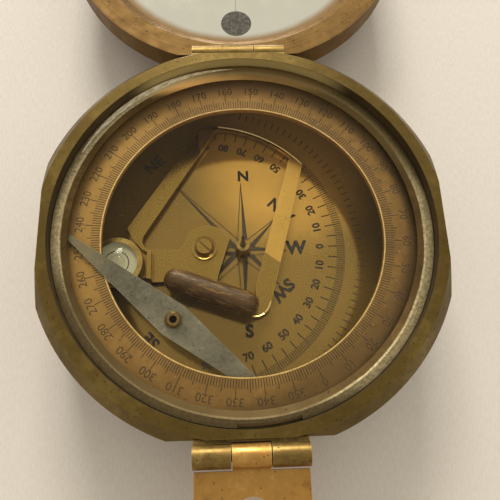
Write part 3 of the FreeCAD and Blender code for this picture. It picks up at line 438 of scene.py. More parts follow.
@dataclass(frozen=True)
class MetalFinish:
    """An aged metal: mottled colour, tool marks, pits, soiling and painted shade in corners, rubbed edges
    and patches of other colour.

    Attributes:
        name: The material's name.
        bright: Colour where it is rubbed.
        middle: Usual colour.
        dark: Colour of the patina's clouds.
        metallic: Share that is bare metal.
        rough: Least and most roughness.
        grain: How it was worked.
        scale: How fine the clouds are.
        centre: Middle of the turning marks, mm.
        rings: Turning marks per metre.
        stretch: Scratches per metre along each axis.
        depth: Strength of the marks.
        wear: How much its edges are rubbed.
        dirt: How much soiling and painted shade its corners hold.
        pits: Share of cells with a dark speck.
        patches: Regions of other colours, both real discolouring and painted light and shade.
    """

    name: str
    bright: Shade
    middle: Shade
    dark: Shade
    metallic: float = 0.85
    rough: Point = (0.3, 0.5)
    grain: Grain = Grain.TURNED
    scale: float = 70.0
    centre: Triple = (0.0, 0.0, 0.0)
    rings: float = 4200.0
    stretch: Triple = (300.0, 9000.0, 3000.0)
    depth: float = 0.12
    wear: float = 0.7
    dirt: float = 0.6
    pits: float = 0.12
    stains: tuple[Stain, ...] = ()

    def marks(self, made: Paint) -> Socket:
        """The tool marks' height.

        Args:
            made: The material.

        Returns:
            A height from 0 to 1.
        """
        if self.grain is Grain.TURNED:
            moved = made.vector("SUBTRACT", made.place, tuple(c * MM for c in self.centre))
            return made.effect(made.effects.turning, Vector=moved, Rings=self.rings)
        if self.grain is Grain.BRUSHED:
            return made.effect(made.effects.brushing, Stretch=self.stretch)
        return made.noise(made.place, CAST_GRAIN, 5.0, 0.6)

    def stained(self, made: Paint, colour: Socket) -> Socket:
        """The colour with every patch on it.

        Args:
            made: The material.
            The colour with its patches.

        Returns:
            The stained colour.
        """
        for patch in self.stains:
            zone = made.effect(made.effects.zone, Centre=tuple(c * MM for c in patch.centre),
                               Radius=patch.radius * MM, Soft=patch.soft * MM, Ragged=patch.ragged * MM)
            share = made.times(zone, patch.strength)
            if patch.mottle:
                clouds = made.noise(made.place, STAIN_CLOUDS, 4.0, 0.7)
                share = made.times(share, made.ease(clouds, 0.4, 0.6, 1.0 - patch.mottle, 1.0))
            colour = made.blend(share, colour, patch.colour)
        return colour

    def build(self) -> Material:
        """Makes the material.

        Returns:
            The material.
        """
        made = Paint(self.name)
        aged = made.effect(made.effects.patina, Bright=self.bright, Middle=self.middle, Dark=self.dark,
                           Scale=self.scale)
        colour = self.stained(made, aged)
        height = self.marks(made)
        pits = made.effect(made.effects.speckle, Scale=PIT_CELLS, Share=self.pits, Size=PIT_SIZE)
        # Painted shade and soiling: occluded corners and recesses darken towards a near-black tone and
        # grow rougher
        dirt = made.effect(made.effects.grime, Distance=RECESS_REACH, Amount=self.dirt)
        wear = made.effect(made.effects.wear, Radius=WEAR_WIDTH, Amount=self.wear)
        dim = made.blend(0.75, self.dark, SOOT_AND_SHADE)
        colour = made.blend(made.times(made.ease(height, 0.3, 0.7), self.depth), colour, self.bright)
        colour = made.blend(made.times(pits, 0.6), colour, dim)
        colour = made.blend(dirt, colour, dim)
        made.shade("Base Color", made.blend(wear, colour, self.bright))
        rough = made.ease(made.noise(made.place, ROUGH_CLOUDS, 1.0, 0.5), 0.3, 0.7, *self.rough)
        rough = made.plus(rough, made.times(dirt, 0.25))
        made.shade("Roughness", made.plus(rough, made.times(pits, 0.2), True))
        made.shade("Metallic", made.less(self.metallic, made.times(wear, 0.4)))
        relief = made.less(made.times(height, self.depth), made.times(pits, 0.5))
        made.relief(relief, 0.35, METAL_RELIEF)
        return made.material


@dataclass(frozen=True)
class GlassFinish:
    """Clear or tinted glass with smears, which lets light through to what lies behind it.

    Attributes:
        name: The material's name.
        colour: Its tint.
        rough: Least and most roughness.
        index: Refractive index.
        smear: How fine the smears are.
    """

    name: str
    colour: Shade
    rough: Point = (0.01, 0.08)
    index: float = 1.45
    smear: float = 90.0

    def build(self) -> Material:
        """Makes the material.

        Returns:
            The material.
        """
        made = Paint(self.name)
        smears = made.ease(made.noise(made.place, self.smear, 6.0, 0.7), 0.45, 0.75)
        dust = made.effect(made.effects.speckle, Scale=DUST_CELLS, Share=0.03, Size=0.16)
        hazy = made.ease(smears, 0.0, 1.0, *self.rough)
        made.shade("Roughness", made.plus(hazy, made.times(dust, 0.35), True))
        made.shade("Base Color", made.blend(made.times(smears, 0.12), self.colour, srgb(196, 178, 140)))
        made.shade("Transmission Weight", 1.0)
        made.shade("IOR", self.index)
        ray = made.add("ShaderNodeLightPath").outputs
        bounced = made.less(ray["Is Glossy Ray"], ray["Is Transmission Ray"], True)
        soft = made.maths("MAXIMUM", ray["Is Diffuse Ray"], bounced)
        through = made.maths("MAXIMUM", ray["Is Shadow Ray"], soft)
        clear = made.add("ShaderNodeBsdfTransparent", {"Color": self.colour}).outputs[0]
        mixed = made.add("ShaderNodeMixShader", {0: through, 1: made.shader.outputs[0], 2: clear})
        made.feed(made.tree.nodes["Material Output"].inputs["Surface"], mixed.outputs[0])
        return made.material


@dataclass(frozen=True)
class PlainFinish:
    """A simple non-metal surface with mottling, such as filler, felt, paper or fluid.

    Attributes:
        name: The material's name.
        light: Its lighter tone.
        dark: Its darker tone.
        scale: How fine the mottling is.
        rough: Least and most roughness.
        stretch: How much longer the mottling is along each axis.
        depth: Strength of its relief.
        coat: Weight of a clear coat.
        turn: How far the mottling is turned about the vertical, degrees.
        flecks: Colour of its pale streaks, if it has them.
    """

    name: str
    light: Shade
    dark: Shade
    scale: float = 900.0
    rough: Point = (0.5, 0.8)
    stretch: Triple = (1.0, 1.0, 1.0)
    depth: float = 0.2
    coat: float = 0.0
    turn: float = 0.0
    flecks: Optional[Shade] = None

    def build(self) -> Material:
        """Makes the material.

        Returns:
            The material.
        """
        made = Paint(self.name)
        if self.turn:
            sockets = {"Vector": made.place, "Rotation": (0.0, 0.0, math.radians(self.turn))}
            made.place = made.add("ShaderNodeMapping", sockets).outputs[0]
        stretch = tuple(s * self.scale for s in self.stretch)
        clouds = made.effect(made.effects.brushing, Stretch=stretch)
        spots = made.effect(made.effects.speckle, Scale=self.scale * 1.5, Share=0.15, Size=0.3)
        mask = made.less(made.ease(clouds, 0.35, 0.65), made.times(spots, 0.4), True)
        tone = made.blend(mask, self.dark, self.light)
        if self.flecks:
            streaks = made.effect(made.effects.brushing, Stretch=tuple(s * 0.6 for s in stretch))
            tone = made.blend(made.ease(streaks, 0.54, 0.62, 0.0, 0.8), tone, self.flecks)
        made.shade("Base Color", tone)
        made.shade("Roughness", made.ease(mask, 0.0, 1.0, self.rough[1], self.rough[0]))
        made.shade("Coat Weight", self.coat)
        made.relief(mask, self.depth, PLAIN_RELIEF)
        return made.material


Finish = Union[MetalFinish, GlassFinish, PlainFinish]


class Finishes:
    """Every finish of the instrument."""

    CASE = MetalFinish(
        "case_brass", srgb(124, 103, 51), srgb(99, 80, 35), srgb(82, 64, 24), 0.8, (0.36, 0.48),
        scale=55.0, depth=0.16, wear=0.5, dirt=0.4, pits=0.2)
    LID = MetalFinish(
        "lid_brass", srgb(132, 102, 54), srgb(106, 80, 40), srgb(80, 58, 28), 0.85, (0.46, 0.6),
        scale=60.0, centre=(0.0, 84.8, 0.0), rings=1900.0, depth=0.4, wear=0.45, dirt=0.6)
    # Bezel: the first patch is painted light along its top, the second is the lip's own pale colour, the
    # last two are painted shade towards the top right and the bottom
    BEZEL = MetalFinish(
        "bezel_brass", srgb(100, 78, 42), srgb(80, 61, 29), srgb(64, 48, 20), 0.8, (0.38, 0.5),
        scale=120.0, depth=0.1, wear=0.4, dirt=0.5, pits=0.08,
        stains=(Stain(srgb(250, 198, 118), (0.0, -40.0, 21.5), 73.0, 2.0, 0.6, 0.9),
                Stain(srgb(198, 182, 138), (0.0, 0.0, 21.5), 36.5, 0.2, 0.4, 0.88, 0.45),
                Stain(srgb(104, 86, 50), (-15.0, -26.0, 21.5), 60.0, 5.0, 3.0, 0.8),
                Stain(srgb(82, 66, 36), (12.0, 27.5, 21.5), 58.0, 5.0, 2.0, 0.85)))
    # Dial: its patch is painted shade, darker away from a bright spot above and right of the middle,
    # standing for the ring's shadow and the dark reflections in the polished plate
    DIAL = MetalFinish(
        "dial_brass", srgb(244, 194, 98), srgb(236, 186, 92), srgb(220, 172, 82), 0.55, (0.11, 0.14),
        Grain.CAST, 70.0, depth=0.0, wear=0.3, dirt=0.3, pits=0.0,
        stains=(Stain(srgb(146, 120, 60), (11.0, 22.0, 6.0), 11.0, 15.0, 6.0, 0.88),))
    # Ring: the first two patches are painted light on its left and top, where the rim shades it; the last
    # two are painted shade on its lower right and outer right
    RING = MetalFinish(
        "ring_brass", srgb(190, 148, 82), srgb(164, 126, 66), srgb(138, 105, 54), 0.55, (0.28, 0.4),
        Grain.CAST, 80.0, depth=0.08, wear=0.5, dirt=0.4, pits=0.1,
        stains=(Stain(srgb(210, 166, 90), (40.0, -10.0, 18.4), 64.0, 8.0, 3.0, 0.75),
                Stain(srgb(206, 158, 98), (0.0, -40.0, 18.4), 70.0, 6.0, 2.0, 0.9),
                Stain(srgb(112, 86, 46), (-18.0, 22.0, 18.4), 57.0, 4.0, 2.0, 0.75),
                Stain(srgb(92, 69, 34), (-8.0, 2.0, 18.4), 41.0, 2.6, 1.6, 0.8)))
    # Arm: its patches are painted shade, darker away from the right leg, and darker over the arc bar at
    # the top, which lies in the ring's shadow
    ARM = MetalFinish(
        "arm_brass", srgb(238, 192, 102), srgb(228, 184, 96), srgb(216, 174, 90), 0.9, (0.21, 0.25),
        Grain.BRUSHED, 60.0, stretch=(400.0, 2600.0, 1500.0), depth=0.04, wear=0.6, dirt=0.3, pits=0.04,
        stains=(Stain(srgb(152, 126, 64), (30.0, 30.0, 8.0), 39.6, 0.5, 0.5, 0.88),
                Stain(srgb(96, 80, 48), (-15.6, -19.7, 8.0), 50.9, 0.2, 0.0, 0.9)))
    SIGHT = MetalFinish(
        "sight_brass", srgb(220, 172, 96), srgb(188, 142, 73), srgb(142, 108, 54), 0.88, (0.3, 0.5),
        Grain.BRUSHED, 75.0, stretch=(6500.0, 500.0, 3000.0), depth=0.16, wear=0.6, dirt=0.6)
    HINGE = MetalFinish(
        "hinge_brass", srgb(190, 162, 98), srgb(134, 108, 56), srgb(88, 70, 36), 0.85, (0.34, 0.52),
        Grain.BRUSHED, 120.0, stretch=(500.0, 6000.0, 6000.0), depth=0.16, wear=0.7, dirt=0.8)
    POLISHED = MetalFinish(
        "turned_brass", srgb(214, 186, 116), srgb(172, 142, 80), srgb(112, 90, 48), 0.92,
        (0.2, 0.38), scale=200.0, depth=0.12, wear=0.7, dirt=0.6)
    STEEL = MetalFinish(
        "steel", srgb(176, 172, 160), srgb(128, 124, 112), srgb(82, 76, 64), 0.9, (0.28, 0.45),
        scale=200.0, depth=0.1, wear=0.5, dirt=0.6)
    NEEDLE = MetalFinish(
        "needle_steel", srgb(176, 171, 150), srgb(132, 129, 114), srgb(104, 101, 88), 0.7,
        (0.36, 0.55), Grain.BRUSHED, 150.0, stretch=(900.0, 900.0, 3000.0), depth=0.14,
        wear=0.7, dirt=0.4, pits=0.2,
        stains=(Stain(srgb(172, 158, 122), (7.2, -35.4, 17.0), 44.0, 8.0, 6.0, 0.8),))
    MIRROR = MetalFinish(
        "mirror_silver", (0.78, 0.77, 0.67, 1.0), (0.76, 0.75, 0.65, 1.0), (0.74, 0.73, 0.63, 1.0),
        1.0, (0.02, 0.05), Grain.CAST, 30.0, depth=0.0, wear=0.0, dirt=0.35, pits=0.0,
        stains=(Stain(srgb(168, 128, 72), (0.0, 84.8, 14.2), 31.5, 2.2, 0.8, 0.85),))
    # Painted shade: the sighting window is a dark opaque disc standing for the shaded table under the lid
    CLOUDED = PlainFinish(
        "window_shade", srgb(66, 57, 36), srgb(58, 50, 31), 1600.0, (0.5, 0.7), depth=0.02)
    CRYSTAL = GlassFinish("crystal_glass", (0.96, 0.95, 0.9, 1.0), (0.0, 0.025), 1.2, 90.0)
    DOME = GlassFinish("level_glass", (0.94, 0.95, 0.9, 1.0), (0.0, 0.05))
    JEWEL = GlassFinish("jewel", srgb(150, 60, 60), (0.0, 0.1), 1.76)
    AMBER = PlainFinish(
        "aged_tube", srgb(102, 72, 30), srgb(74, 50, 18), 1300.0, (0.3, 0.5), (0.3, 1.6, 1.6), 0.25,
        turn=20.0, flecks=srgb(158, 122, 70))
    SPIRIT = PlainFinish("spirit", srgb(132, 88, 50), srgb(96, 62, 34), 700.0, (0.2, 0.4), depth=0.1)
    MILKY = PlainFinish(
        "milky_spirit", srgb(252, 248, 232), srgb(244, 238, 218), 500.0, (0.15, 0.35), depth=0.05)
    FELT = PlainFinish("felt", srgb(78, 68, 56), srgb(40, 34, 28), 2500.0, (0.85, 0.95), depth=0.6)
    FILLER = PlainFinish(
        "black_filler", srgb(70, 57, 32), srgb(44, 35, 20), 3500.0, (0.5, 0.75), depth=0.2)
    ROSE = PlainFinish("rose_filler", srgb(88, 73, 44), srgb(62, 50, 28), 2500.0, (0.5, 0.75), depth=0.2)
    SCALE = PlainFinish(
        "scale_filler", srgb(92, 70, 38), srgb(66, 48, 24), 3500.0, (0.5, 0.75), depth=0.2)
    # Painted highlight: the bright wedge on the arm's arc and lower corner
    RUBBED = MetalFinish(
        "arm_edge_highlight", srgb(255, 228, 160), srgb(250, 220, 150), srgb(238, 204, 132), 0.8,
        (0.25, 0.35), Grain.CAST, 300.0, depth=0.0, wear=0.0, dirt=0.0, pits=0.0)
    # Painted highlight: the bright strip round the ring's mouth
    GLINT = PlainFinish(
        "ring_mouth_highlight", srgb(246, 216, 146), srgb(214, 176, 100), 1500.0, (0.3, 0.5), depth=0.1)
    # Painted highlight: the pale strip on the bezel's lip at its upper left
    WORN = PlainFinish(
        "lip_highlight", srgb(255, 250, 226), srgb(200, 182, 130), 1500.0, (0.3, 0.5),
        (0.4, 1.6, 1.0), 0.1, turn=-35.0)
    # Painted light and shade for the bore wall: a dark non-metal sheet with its northern part painted
    # pale
    FILM = MetalFinish(
        "bore_light_and_shade", srgb(84, 66, 32), srgb(70, 54, 24), srgb(58, 44, 18), 0.0, (0.6, 0.75),
        Grain.CAST, 120.0, depth=0.0, wear=0.2, dirt=0.3, pits=0.0,
        stains=(Stain(srgb(204, 182, 116), (0.0, -40.0, 22.6), 74.2, 2.5, 0.6, 0.95),))
    LINE = PlainFinish("grey_line", srgb(120, 112, 92), srgb(90, 84, 68), 1500.0, (0.4, 0.6), depth=0.1)
    TABLE = PlainFinish(
        "table", srgb(239, 232, 221), srgb(233, 225, 213), 2200.0, (0.6, 0.8), (1.0, 0.3, 1.0), 0.1)


@lru_cache(maxsize=None)
def material_of(finish: Finish) -> Material:
    """The finish's material, made at its first use."""
    return finish.build()


class Prisms:
    """Thin closed shapes that stand a hair above a flat face, gathered into one mesh."""

    def __init__(self, top: float, proud: float = PROUD) -> None:
        """Takes the face's height and how far the marks stand above it, mm."""
        self.low = top - SUNK
        self.high = top + proud
        self.mesh = bmesh.new()

    def outline(self, corners: Sequence[Point]) -> None:
        """Adds a prism over a closed outline.

        Args:
            corners: The outline, anticlockwise, mm.
        """
        feet = [self.mesh.verts.new((x * MM, y * MM, self.low * MM)) for x, y in corners]
        tops = [self.mesh.verts.new((x * MM, y * MM, self.high * MM)) for x, y in corners]
        self.mesh.faces.new(tops)
        self.mesh.faces.new(list(reversed(feet)))
        for i in range(len(corners)):
            j = (i + 1) % len(corners)
            self.mesh.faces.new((feet[i], feet[j], tops[j], tops[i]))

    def line(self, start: Point, end: Point, width: float) -> None:
        """Adds a straight stroke.

        Args:
            start: One end, mm.
            end: The other end, mm.
            width: Its width, mm.
        """
        along = Vector(end) - Vector(start)
        across = Vector((-along.y, along.x)).normalized() * (width / 2)
        near, far = Vector(start), Vector(end)
        self.outline([tuple(p) for p in (near - across, far - across, far + across, near + across)])

    def path(self, points: Sequence[Point], width: float) -> None:
        """Adds a stroke from each point to the next.

        Args:
            points: The points, mm.
            width: Its width, mm.
        """
        for start, end in zip(points, points[1:]):
            self.line(start, end, width)

    def tick(self, centre: Point, angle: float, inner: float, outer: float, width: float,
             keep: Callable[[Point], bool] = lambda p: True) -> None:
        """Adds a radial tick.

        Args:
            centre: Middle of its scale, mm.
            angle: Its direction in degrees.
            inner: Its inner radius, mm.
            outer: Its outer radius, mm.
            width: Its width, mm.
            keep: Whether a point may be engraved.
        """
        ends = [polar(centre, radius, angle) for radius in (inner, outer)]
        if all(keep(p) for p in ends):
            self.line(*ends, width)

    def text(self, words: str, middle: Point, turn: float, height: float, bold: float = 0.0) -> None:
        """Adds words, centred.

        Args:
            words: What they say.
            middle: Their middle, mm.
            turn: How far they are turned, degrees.
            height: Height of a capital, mm.
            bold: How much each stroke is widened, mm.
        """
        curve = bpy.data.curves.new("words", "FONT")
        curve.body = words
        curve.align_x, curve.align_y = "CENTER", "CENTER"
        curve.size = height / CAPITAL
        curve.offset = bold
        curve.resolution_u = 3
        curve.extrude = (self.high - self.low) / 2
        holder = bpy.data.objects.new("words", curve)
        mesh = bpy.data.meshes.new_from_object(holder)
        lift = (self.low + self.high) / 2
        mesh.transform(Matrix.Scale(MM, 4) @ Matrix.Translation((middle[0], middle[1], lift))
                       @ Matrix.Rotation(math.radians(turn), 4, "Z"))
        self.mesh.from_mesh(mesh)
        bpy.data.meshes.remove(mesh)
        bpy.data.objects.remove(holder)
        bpy.data.curves.remove(curve)

    def done(self, name: str, body: str, finish: Finish) -> None:
        """Turns what was gathered into a piece.

        Args:
            name: The piece's name.
            body: The body that it rides on.
            finish: Its finish.
        """
        bmesh.ops.remove_doubles(self.mesh, verts=self.mesh.verts, dist=JOINED)
        bmesh.ops.recalc_face_normals(self.mesh, faces=self.mesh.faces)
        make_piece(self.mesh, name, body, finish, False)


def new_object(name: str, data: bpy.types.ID) -> bpy.types.Object:
    """An object of the scene that holds the data."""
    made = bpy.data.objects.new(name, data)
    bpy.context.scene.collection.objects.link(made)
    return made


def mesh_object(mesh: BMesh, name: str, finish: Finish) -> bpy.types.Object:
    """Turns a mesh in the making into an object with its finish.

    Args:
        mesh: The mesh, in metres and in place.
        name: The object's name.
        finish: Its finish.

    Returns:
        The object.
    """
    data = bpy.data.meshes.new(name)
    mesh.to_mesh(data)
    mesh.free()
    data.materials.append(material_of(finish))
    return new_object(name, data)


def make_piece(mesh: BMesh, name: str, body: str, finish: Finish, smooth: bool = True) -> None:
    """Turns a mesh in the making into a piece that rides on a body.

    Args:
        mesh: The mesh, in metres and in place.
        name: The piece's name.
        body: The body that it rides on.
        finish: Its finish.
        smooth: Whether its faces are smooth.
    """
    piece = mesh_object(mesh, name, finish)
    if smooth:
        piece.data.shade_smooth()
    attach(piece, body)
    LOG.info("built %s on %s, %d faces", name, body, len(piece.data.polygons))


def spun(profile: Sequence[Point], place: Matrix, steps: int) -> BMesh:
    """A solid of revolution.

    Args:
        profile: Closed half section as (radius, height), mm, touching the axis or not.
        place: Where it goes, in metres.
        steps: How many steps round.

    Returns:
        The mesh.
    """
    mesh = bmesh.new()
    rings: list[Loop] = []
    for radius, height in profile:
        ring = []
        for i in range(1 if radius < ON_AXIS else steps):
            angle = 2 * math.pi * i / steps
            spot = Vector((radius * math.cos(angle), radius * math.sin(angle), height)) * MM
            ring.append(mesh.verts.new(place @ spot))
        rings.append(ring)
    for a, b in zip(rings, rings[1:] + rings[:1]):
        for i in range(steps):
            j = (i + 1) % steps
            loop = [a[i % len(a)], a[j % len(a)], b[j % len(b)], b[i % len(b)]]
            face = list(dict.fromkeys(loop))
            if len(face) > 2:
                mesh.faces.new(face)
    bmesh.ops.recalc_face_normals(mesh, faces=mesh.faces)
    return mesh


@dataclass
class StarArm:
    """One arm of the dial's star: direction in degrees, tip's radius, half width and filled half."""

    angle: float
    reach: float
    half_width: float
    filled: Side


@dataclass
class Letter:
    """A direction's letters: their middle, turn in degrees, height and how much bolder they are."""

    words: str
    middle: Point
    turn: float
    height: float
    bold: float


@dataclass
class Dial:
    """The fixed dial: its star, letters and the clinometer's two scales."""

    top: float = 6.0
    scale_centre: Point = (-8.43, 0.73)
    number_r: float = 26.19
    number_h: float = 1.75
    degree_r: Point = (30.0, 31.9)
    five_r: float = 28.0
    grade_r: Point = (34.5, 36.2)
    grade_step: float = 2.7
    edge_r: float = 36.0
    star_waist: float = 2.6
    star_foot: float = 0.6
    line: float = 0.2
    five_line: float = 0.25
    bold: float = 0.09
    arms: Sequence[StarArm] = (
        StarArm(90.0, 16.9, 1.15, Side.RIGHT), StarArm(45.0, 11.5, 1.15, Side.RIGHT),
        StarArm(0.0, 10.0, 1.05, Side.LEFT), StarArm(-45.0, 11.5, 1.15, Side.LEFT),
        StarArm(-90.0, 16.5, 1.1, Side.LEFT), StarArm(-135.0, 19.0, 1.25, Side.RIGHT),
        StarArm(180.0, 11.0, 1.05, Side.LEFT), StarArm(133.0, 24.0, 1.2, Side.LEFT))
    letters: Sequence[Letter] = (
        Letter("N", (0.63, 18.72), 0.0, 2.6, 0.14), Letter("W", (12.2, 0.46), 0.0, 3.1, 0.22),
        Letter("S", (0.92, -18.43), 0.0, 2.8, 0.2), Letter("SW", (8.7, -9.3), -135.0, 2.7, 0.18),
        Letter("NW", (9.1, 9.8), -45.0, 2.7, 0.14), Letter("NE", (-20.4, 22.1), 42.7, 2.7, 0.14),
        Letter("SE", (-20.4, -19.8), 134.1, 2.7, 0.14), Letter("E", (-27.9, 0.5), 0.0, 3.1, 0.16))

    def build(self) -> None:
        """Engraves the dial."""
        self.build_star()
        self.build_letters()
        self.build_scales()

    def build_star(self) -> None:
        """The star: each arm has a filled half and an outlined half."""
        layer = Prisms(self.top)
        for arm in self.arms:
            a = math.radians(arm.angle)
            out = Vector((math.cos(a), math.sin(a)))
            side = Vector((-out.y, out.x)) * arm.filled.value
            tip = out * arm.reach
            foot = out * self.star_foot
            wide = out * self.star_waist + side * arm.half_width
            shape = [foot, tip, wide] if arm.filled is Side.LEFT else [foot, wide, tip]
            layer.outline([tuple(p) for p in shape])
            other = out * self.star_waist - side * arm.half_width
            layer.path([tuple(p) for p in (foot, other, tip)], self.line)
        layer.done("dial_star", "case", Finishes.ROSE)

    def build_letters(self) -> None:
        """The letters of the eight directions."""
        layer = Prisms(self.top)
        for letter in self.letters:
            layer.text(letter.words, letter.middle, letter.turn, letter.height, letter.bold)
        layer.done("dial_letters", "case", Finishes.FILLER)

    def build_scales(self) -> None:
        """The clinometer's degrees, its numbers and its grade scale."""
        ticks = Prisms(self.top)
        numbers = Prisms(self.top)
        centre = self.scale_centre
        for degree in range(-90, 91):
            inner, width = self.degree_r[0], self.line
            if degree % 5 == 0:
                inner, width = self.five_r, self.five_line
            ticks.tick(centre, degree, inner, self.degree_r[1], width, self.on_plate)
            if degree % 10 == 0:
                middle = polar(centre, self.number_r, degree)
                numbers.text(str(abs(degree)), middle, degree + 90.0, self.number_h, self.bold)
        count = int(90 / self.grade_step)
        for i in range(-count, count + 1):
            ticks.tick(centre, i * self.grade_step, *self.grade_r, self.line, self.on_plate)
        ticks.done("dial_ticks", "case", Finishes.FILLER)
        numbers.done("dial_numbers", "case", Finishes.FILLER)

    def on_plate(self, place: Point) -> bool:
        """Whether a point lies on the plate."""
        return math.hypot(place[0], place[1]) < self.edge_r


@dataclass
class AzimuthScale:
    """The engraving of the turning ring: a tick at each degree and a number at every tenth."""

    top: float = 18.4
    centre: Point = (0.0, 0.0)
    zero: float = -64.43
    start_r: float = 29.55
    one_r: float = 31.35
    five_r: float = 32.1
    ten_r: float = 33.0
    label_r: float = 33.8
    label_h: float = 1.7
    line: float = 0.16

    def build(self) -> None:
        """Engraves the ring."""
        ticks = Prisms(self.top)
        numbers = Prisms(self.top)
        for degree in range(360):
            angle = self.zero + degree
            outer = self.one_r
            if degree % 5 == 0:
                outer = self.five_r
            if degree % 10 == 0:
                outer = self.ten_r
                middle = polar(self.centre, self.label_r, angle)
                numbers.text(str(degree), middle, angle - 90.0, self.label_h)
            ticks.tick(self.centre, angle, self.start_r, outer, self.line)
        ticks.done("ring_ticks", "ring", Finishes.FILLER)
        numbers.done("ring_numbers", "ring", Finishes.SCALE)


@dataclass
class Levels:
    """What shows in the round level: its bubble, and the index mark on its glass."""

    bull: Point = (-27.39, -3.61)
    fluid_top: float = 10.62
    bubble_r: float = 1.5
    bubble_t: float = 0.34
    bubble_foot: float = 1.2
    index_r: float = 2.2
    index_w: float = 0.18
    index_z: Point = (-0.02, 0.04)
    bubble_low: float = -0.08
    crown_steps: int = 6
    bubble_steps: int = 36
    index_steps: int = 48

    def build(self) -> None:
        """Makes the bubble and the mark."""
        place = Matrix.Translation(Vector((*self.bull, self.fluid_top)) * MM)
        angles = [0.5 * math.pi * i / self.crown_steps for i in range(self.crown_steps + 1)]
        crown = [(self.bubble_r * math.sin(a), self.bubble_t * math.cos(a)) for a in angles]
        foot = [(self.bubble_foot, self.bubble_low), (0.0, self.bubble_low)]
        bubble = spun([*crown, *foot], place, self.bubble_steps)
        make_piece(bubble, "bullseye_bubble", "clinometer", Finishes.DOME)
        inner, outer = self.index_r, self.index_r + self.index_w
        low, high = self.index_z
        ring = spun([(inner, low), (outer, low), (outer, high), (inner, high)], place, self.index_steps)
        make_piece(ring, "bullseye_index", "clinometer", Finishes.FILLER, False)


@dataclass
class Glints:
    """Painted highlights: bright strips on the arm's arc and lower corner, the ring's mouth and the
    bezel's lip.
    """

    pivot: Point = (-8.6, 0.3)
    arm_top: float = 8.1
    arc_r: float = 30.85
    arc_deg: Point = (41.5, 83.5)
    arc_steps: int = 24
    corner: Sequence[Point] = ((5.75, -12.2), (5.1, -13.8), (4.2, -14.9), (2.9, -15.5), (1.4, -15.45))
    ring_r: float = 29.36
    ring_top: float = 18.4
    ring_steps: int = 120
    width: float = 0.24
    rise: float = 0.1
    foot: float = 0.005
    lip_r: float = 37.75
    lip_top: float = 21.5
    lip_deg: Point = (92.0, 152.0)
    lip_width: Point = (0.1, 1.2)
    lip_steps: int = 60

    def build(self) -> None:
        """Lays the painted highlights."""
        arm = bmesh.new()
        arc = self.arc(self.pivot, self.arc_r, self.arc_deg, self.arc_steps)
        self.sweep(arm, arc[::-1])
        self.sweep(arm, self.corner)
        make_piece(arm, "arm_edge", "clinometer", Finishes.RUBBED, False)
        ring = Prisms(self.ring_top, THIN)
        ring.path(self.arc((0.0, 0.0), self.ring_r, (0.0, 360.0), self.ring_steps), self.width)
        ring.done("ring_edge", "ring", Finishes.GLINT)
        lip = Prisms(self.lip_top, THIN)
        lip_arc = self.arc((0.0, 0.0), self.lip_r, self.lip_deg, self.lip_steps)
        least, most = self.lip_width
        for i, (start, end) in enumerate(zip(lip_arc, lip_arc[1:])):
            lip.line(start, end, least + (most - least) * math.sin(math.pi * i / len(lip_arc)))
        lip.done("lip_shine", "case", Finishes.WORN)

    def arc(self, centre: Point, radius: float, ends: Point, steps: int) -> list[Point]:
        """Points along an arc.

        Args:
            centre: Its middle, mm.
            radius: Its radius, mm.
            ends: Where it starts and ends, degrees.
            steps: How many steps it has.

        Returns:
            The points, mm.
        """
        start, end = ends
        return [polar(centre, radius, start + (end - start) * i / steps) for i in range(steps + 1)]

    def sweep(self, mesh: BMesh, points: Sequence[Point]) -> None:
        """Sweeps a wedge along a line on the arm, higher on the line's left than on its right.

        Args:
            mesh: The mesh it goes to.
            points: Where it runs, mm.
        """
        low, high = self.arm_top - SUNK, self.arm_top + self.foot
        corners = ((-1, low), (-1, high), (1, high + self.rise), (1, low))
        rings: list[Loop] = []
        last = len(points) - 1
        for i, point in enumerate(points):
            before, after = Vector(points[max(i - 1, 0)]), Vector(points[min(i + 1, last)])
            along = (after - before).normalized()
            left = Vector((-along.y, along.x)) * (self.width / 2)
            spots = [(*(Vector(point) + left * side), z) for side, z in corners]
            rings.append([mesh.verts.new(Vector(spot) * MM) for spot in spots])
        for a, b in zip(rings, rings[1:]):
            for i in range(4):
                j = (i + 1) % 4
                mesh.faces.new((a[i], a[j], b[j], b[i]))
        mesh.faces.new(rings[0])
        mesh.faces.new(rings[-1])
        bmesh.ops.recalc_face_normals(mesh, faces=mesh.faces)


@dataclass
class BoreFilm:
    """Painted light and shade: a thin sheet on the wall of the case's bore, over the bezel, dark, with
    its northern part painted pale.
    """

    radius: float = 38.68
    thick: float = 0.03
    low: float = 21.3
    high: float = 23.9
    steps: int = 180

    def build(self) -> None:
        """Lays the sheet."""
        outer, inner = self.radius, self.radius - self.thick
        section = [(outer, self.low), (outer, self.high), (inner, self.high), (inner, self.low)]
        sheet = spun(section, Matrix.Identity(4), self.steps)
        make_piece(sheet, "bore_shading_sheet", "case", Finishes.FILM, False)


@dataclass
class MirrorLine:
    """The sighting line engraved down the mirror to its window."""

    face: float = 14.2
    far: float = 118.4
    near: float = 60.1
    width: float = 0.14

    def build(self) -> None:
        """Engraves the line."""
        layer = Prisms(self.face)
        layer.line((0.0, self.near), (0.0, self.far), self.width)
        layer.done("mirror_line", "lid", Finishes.LINE)


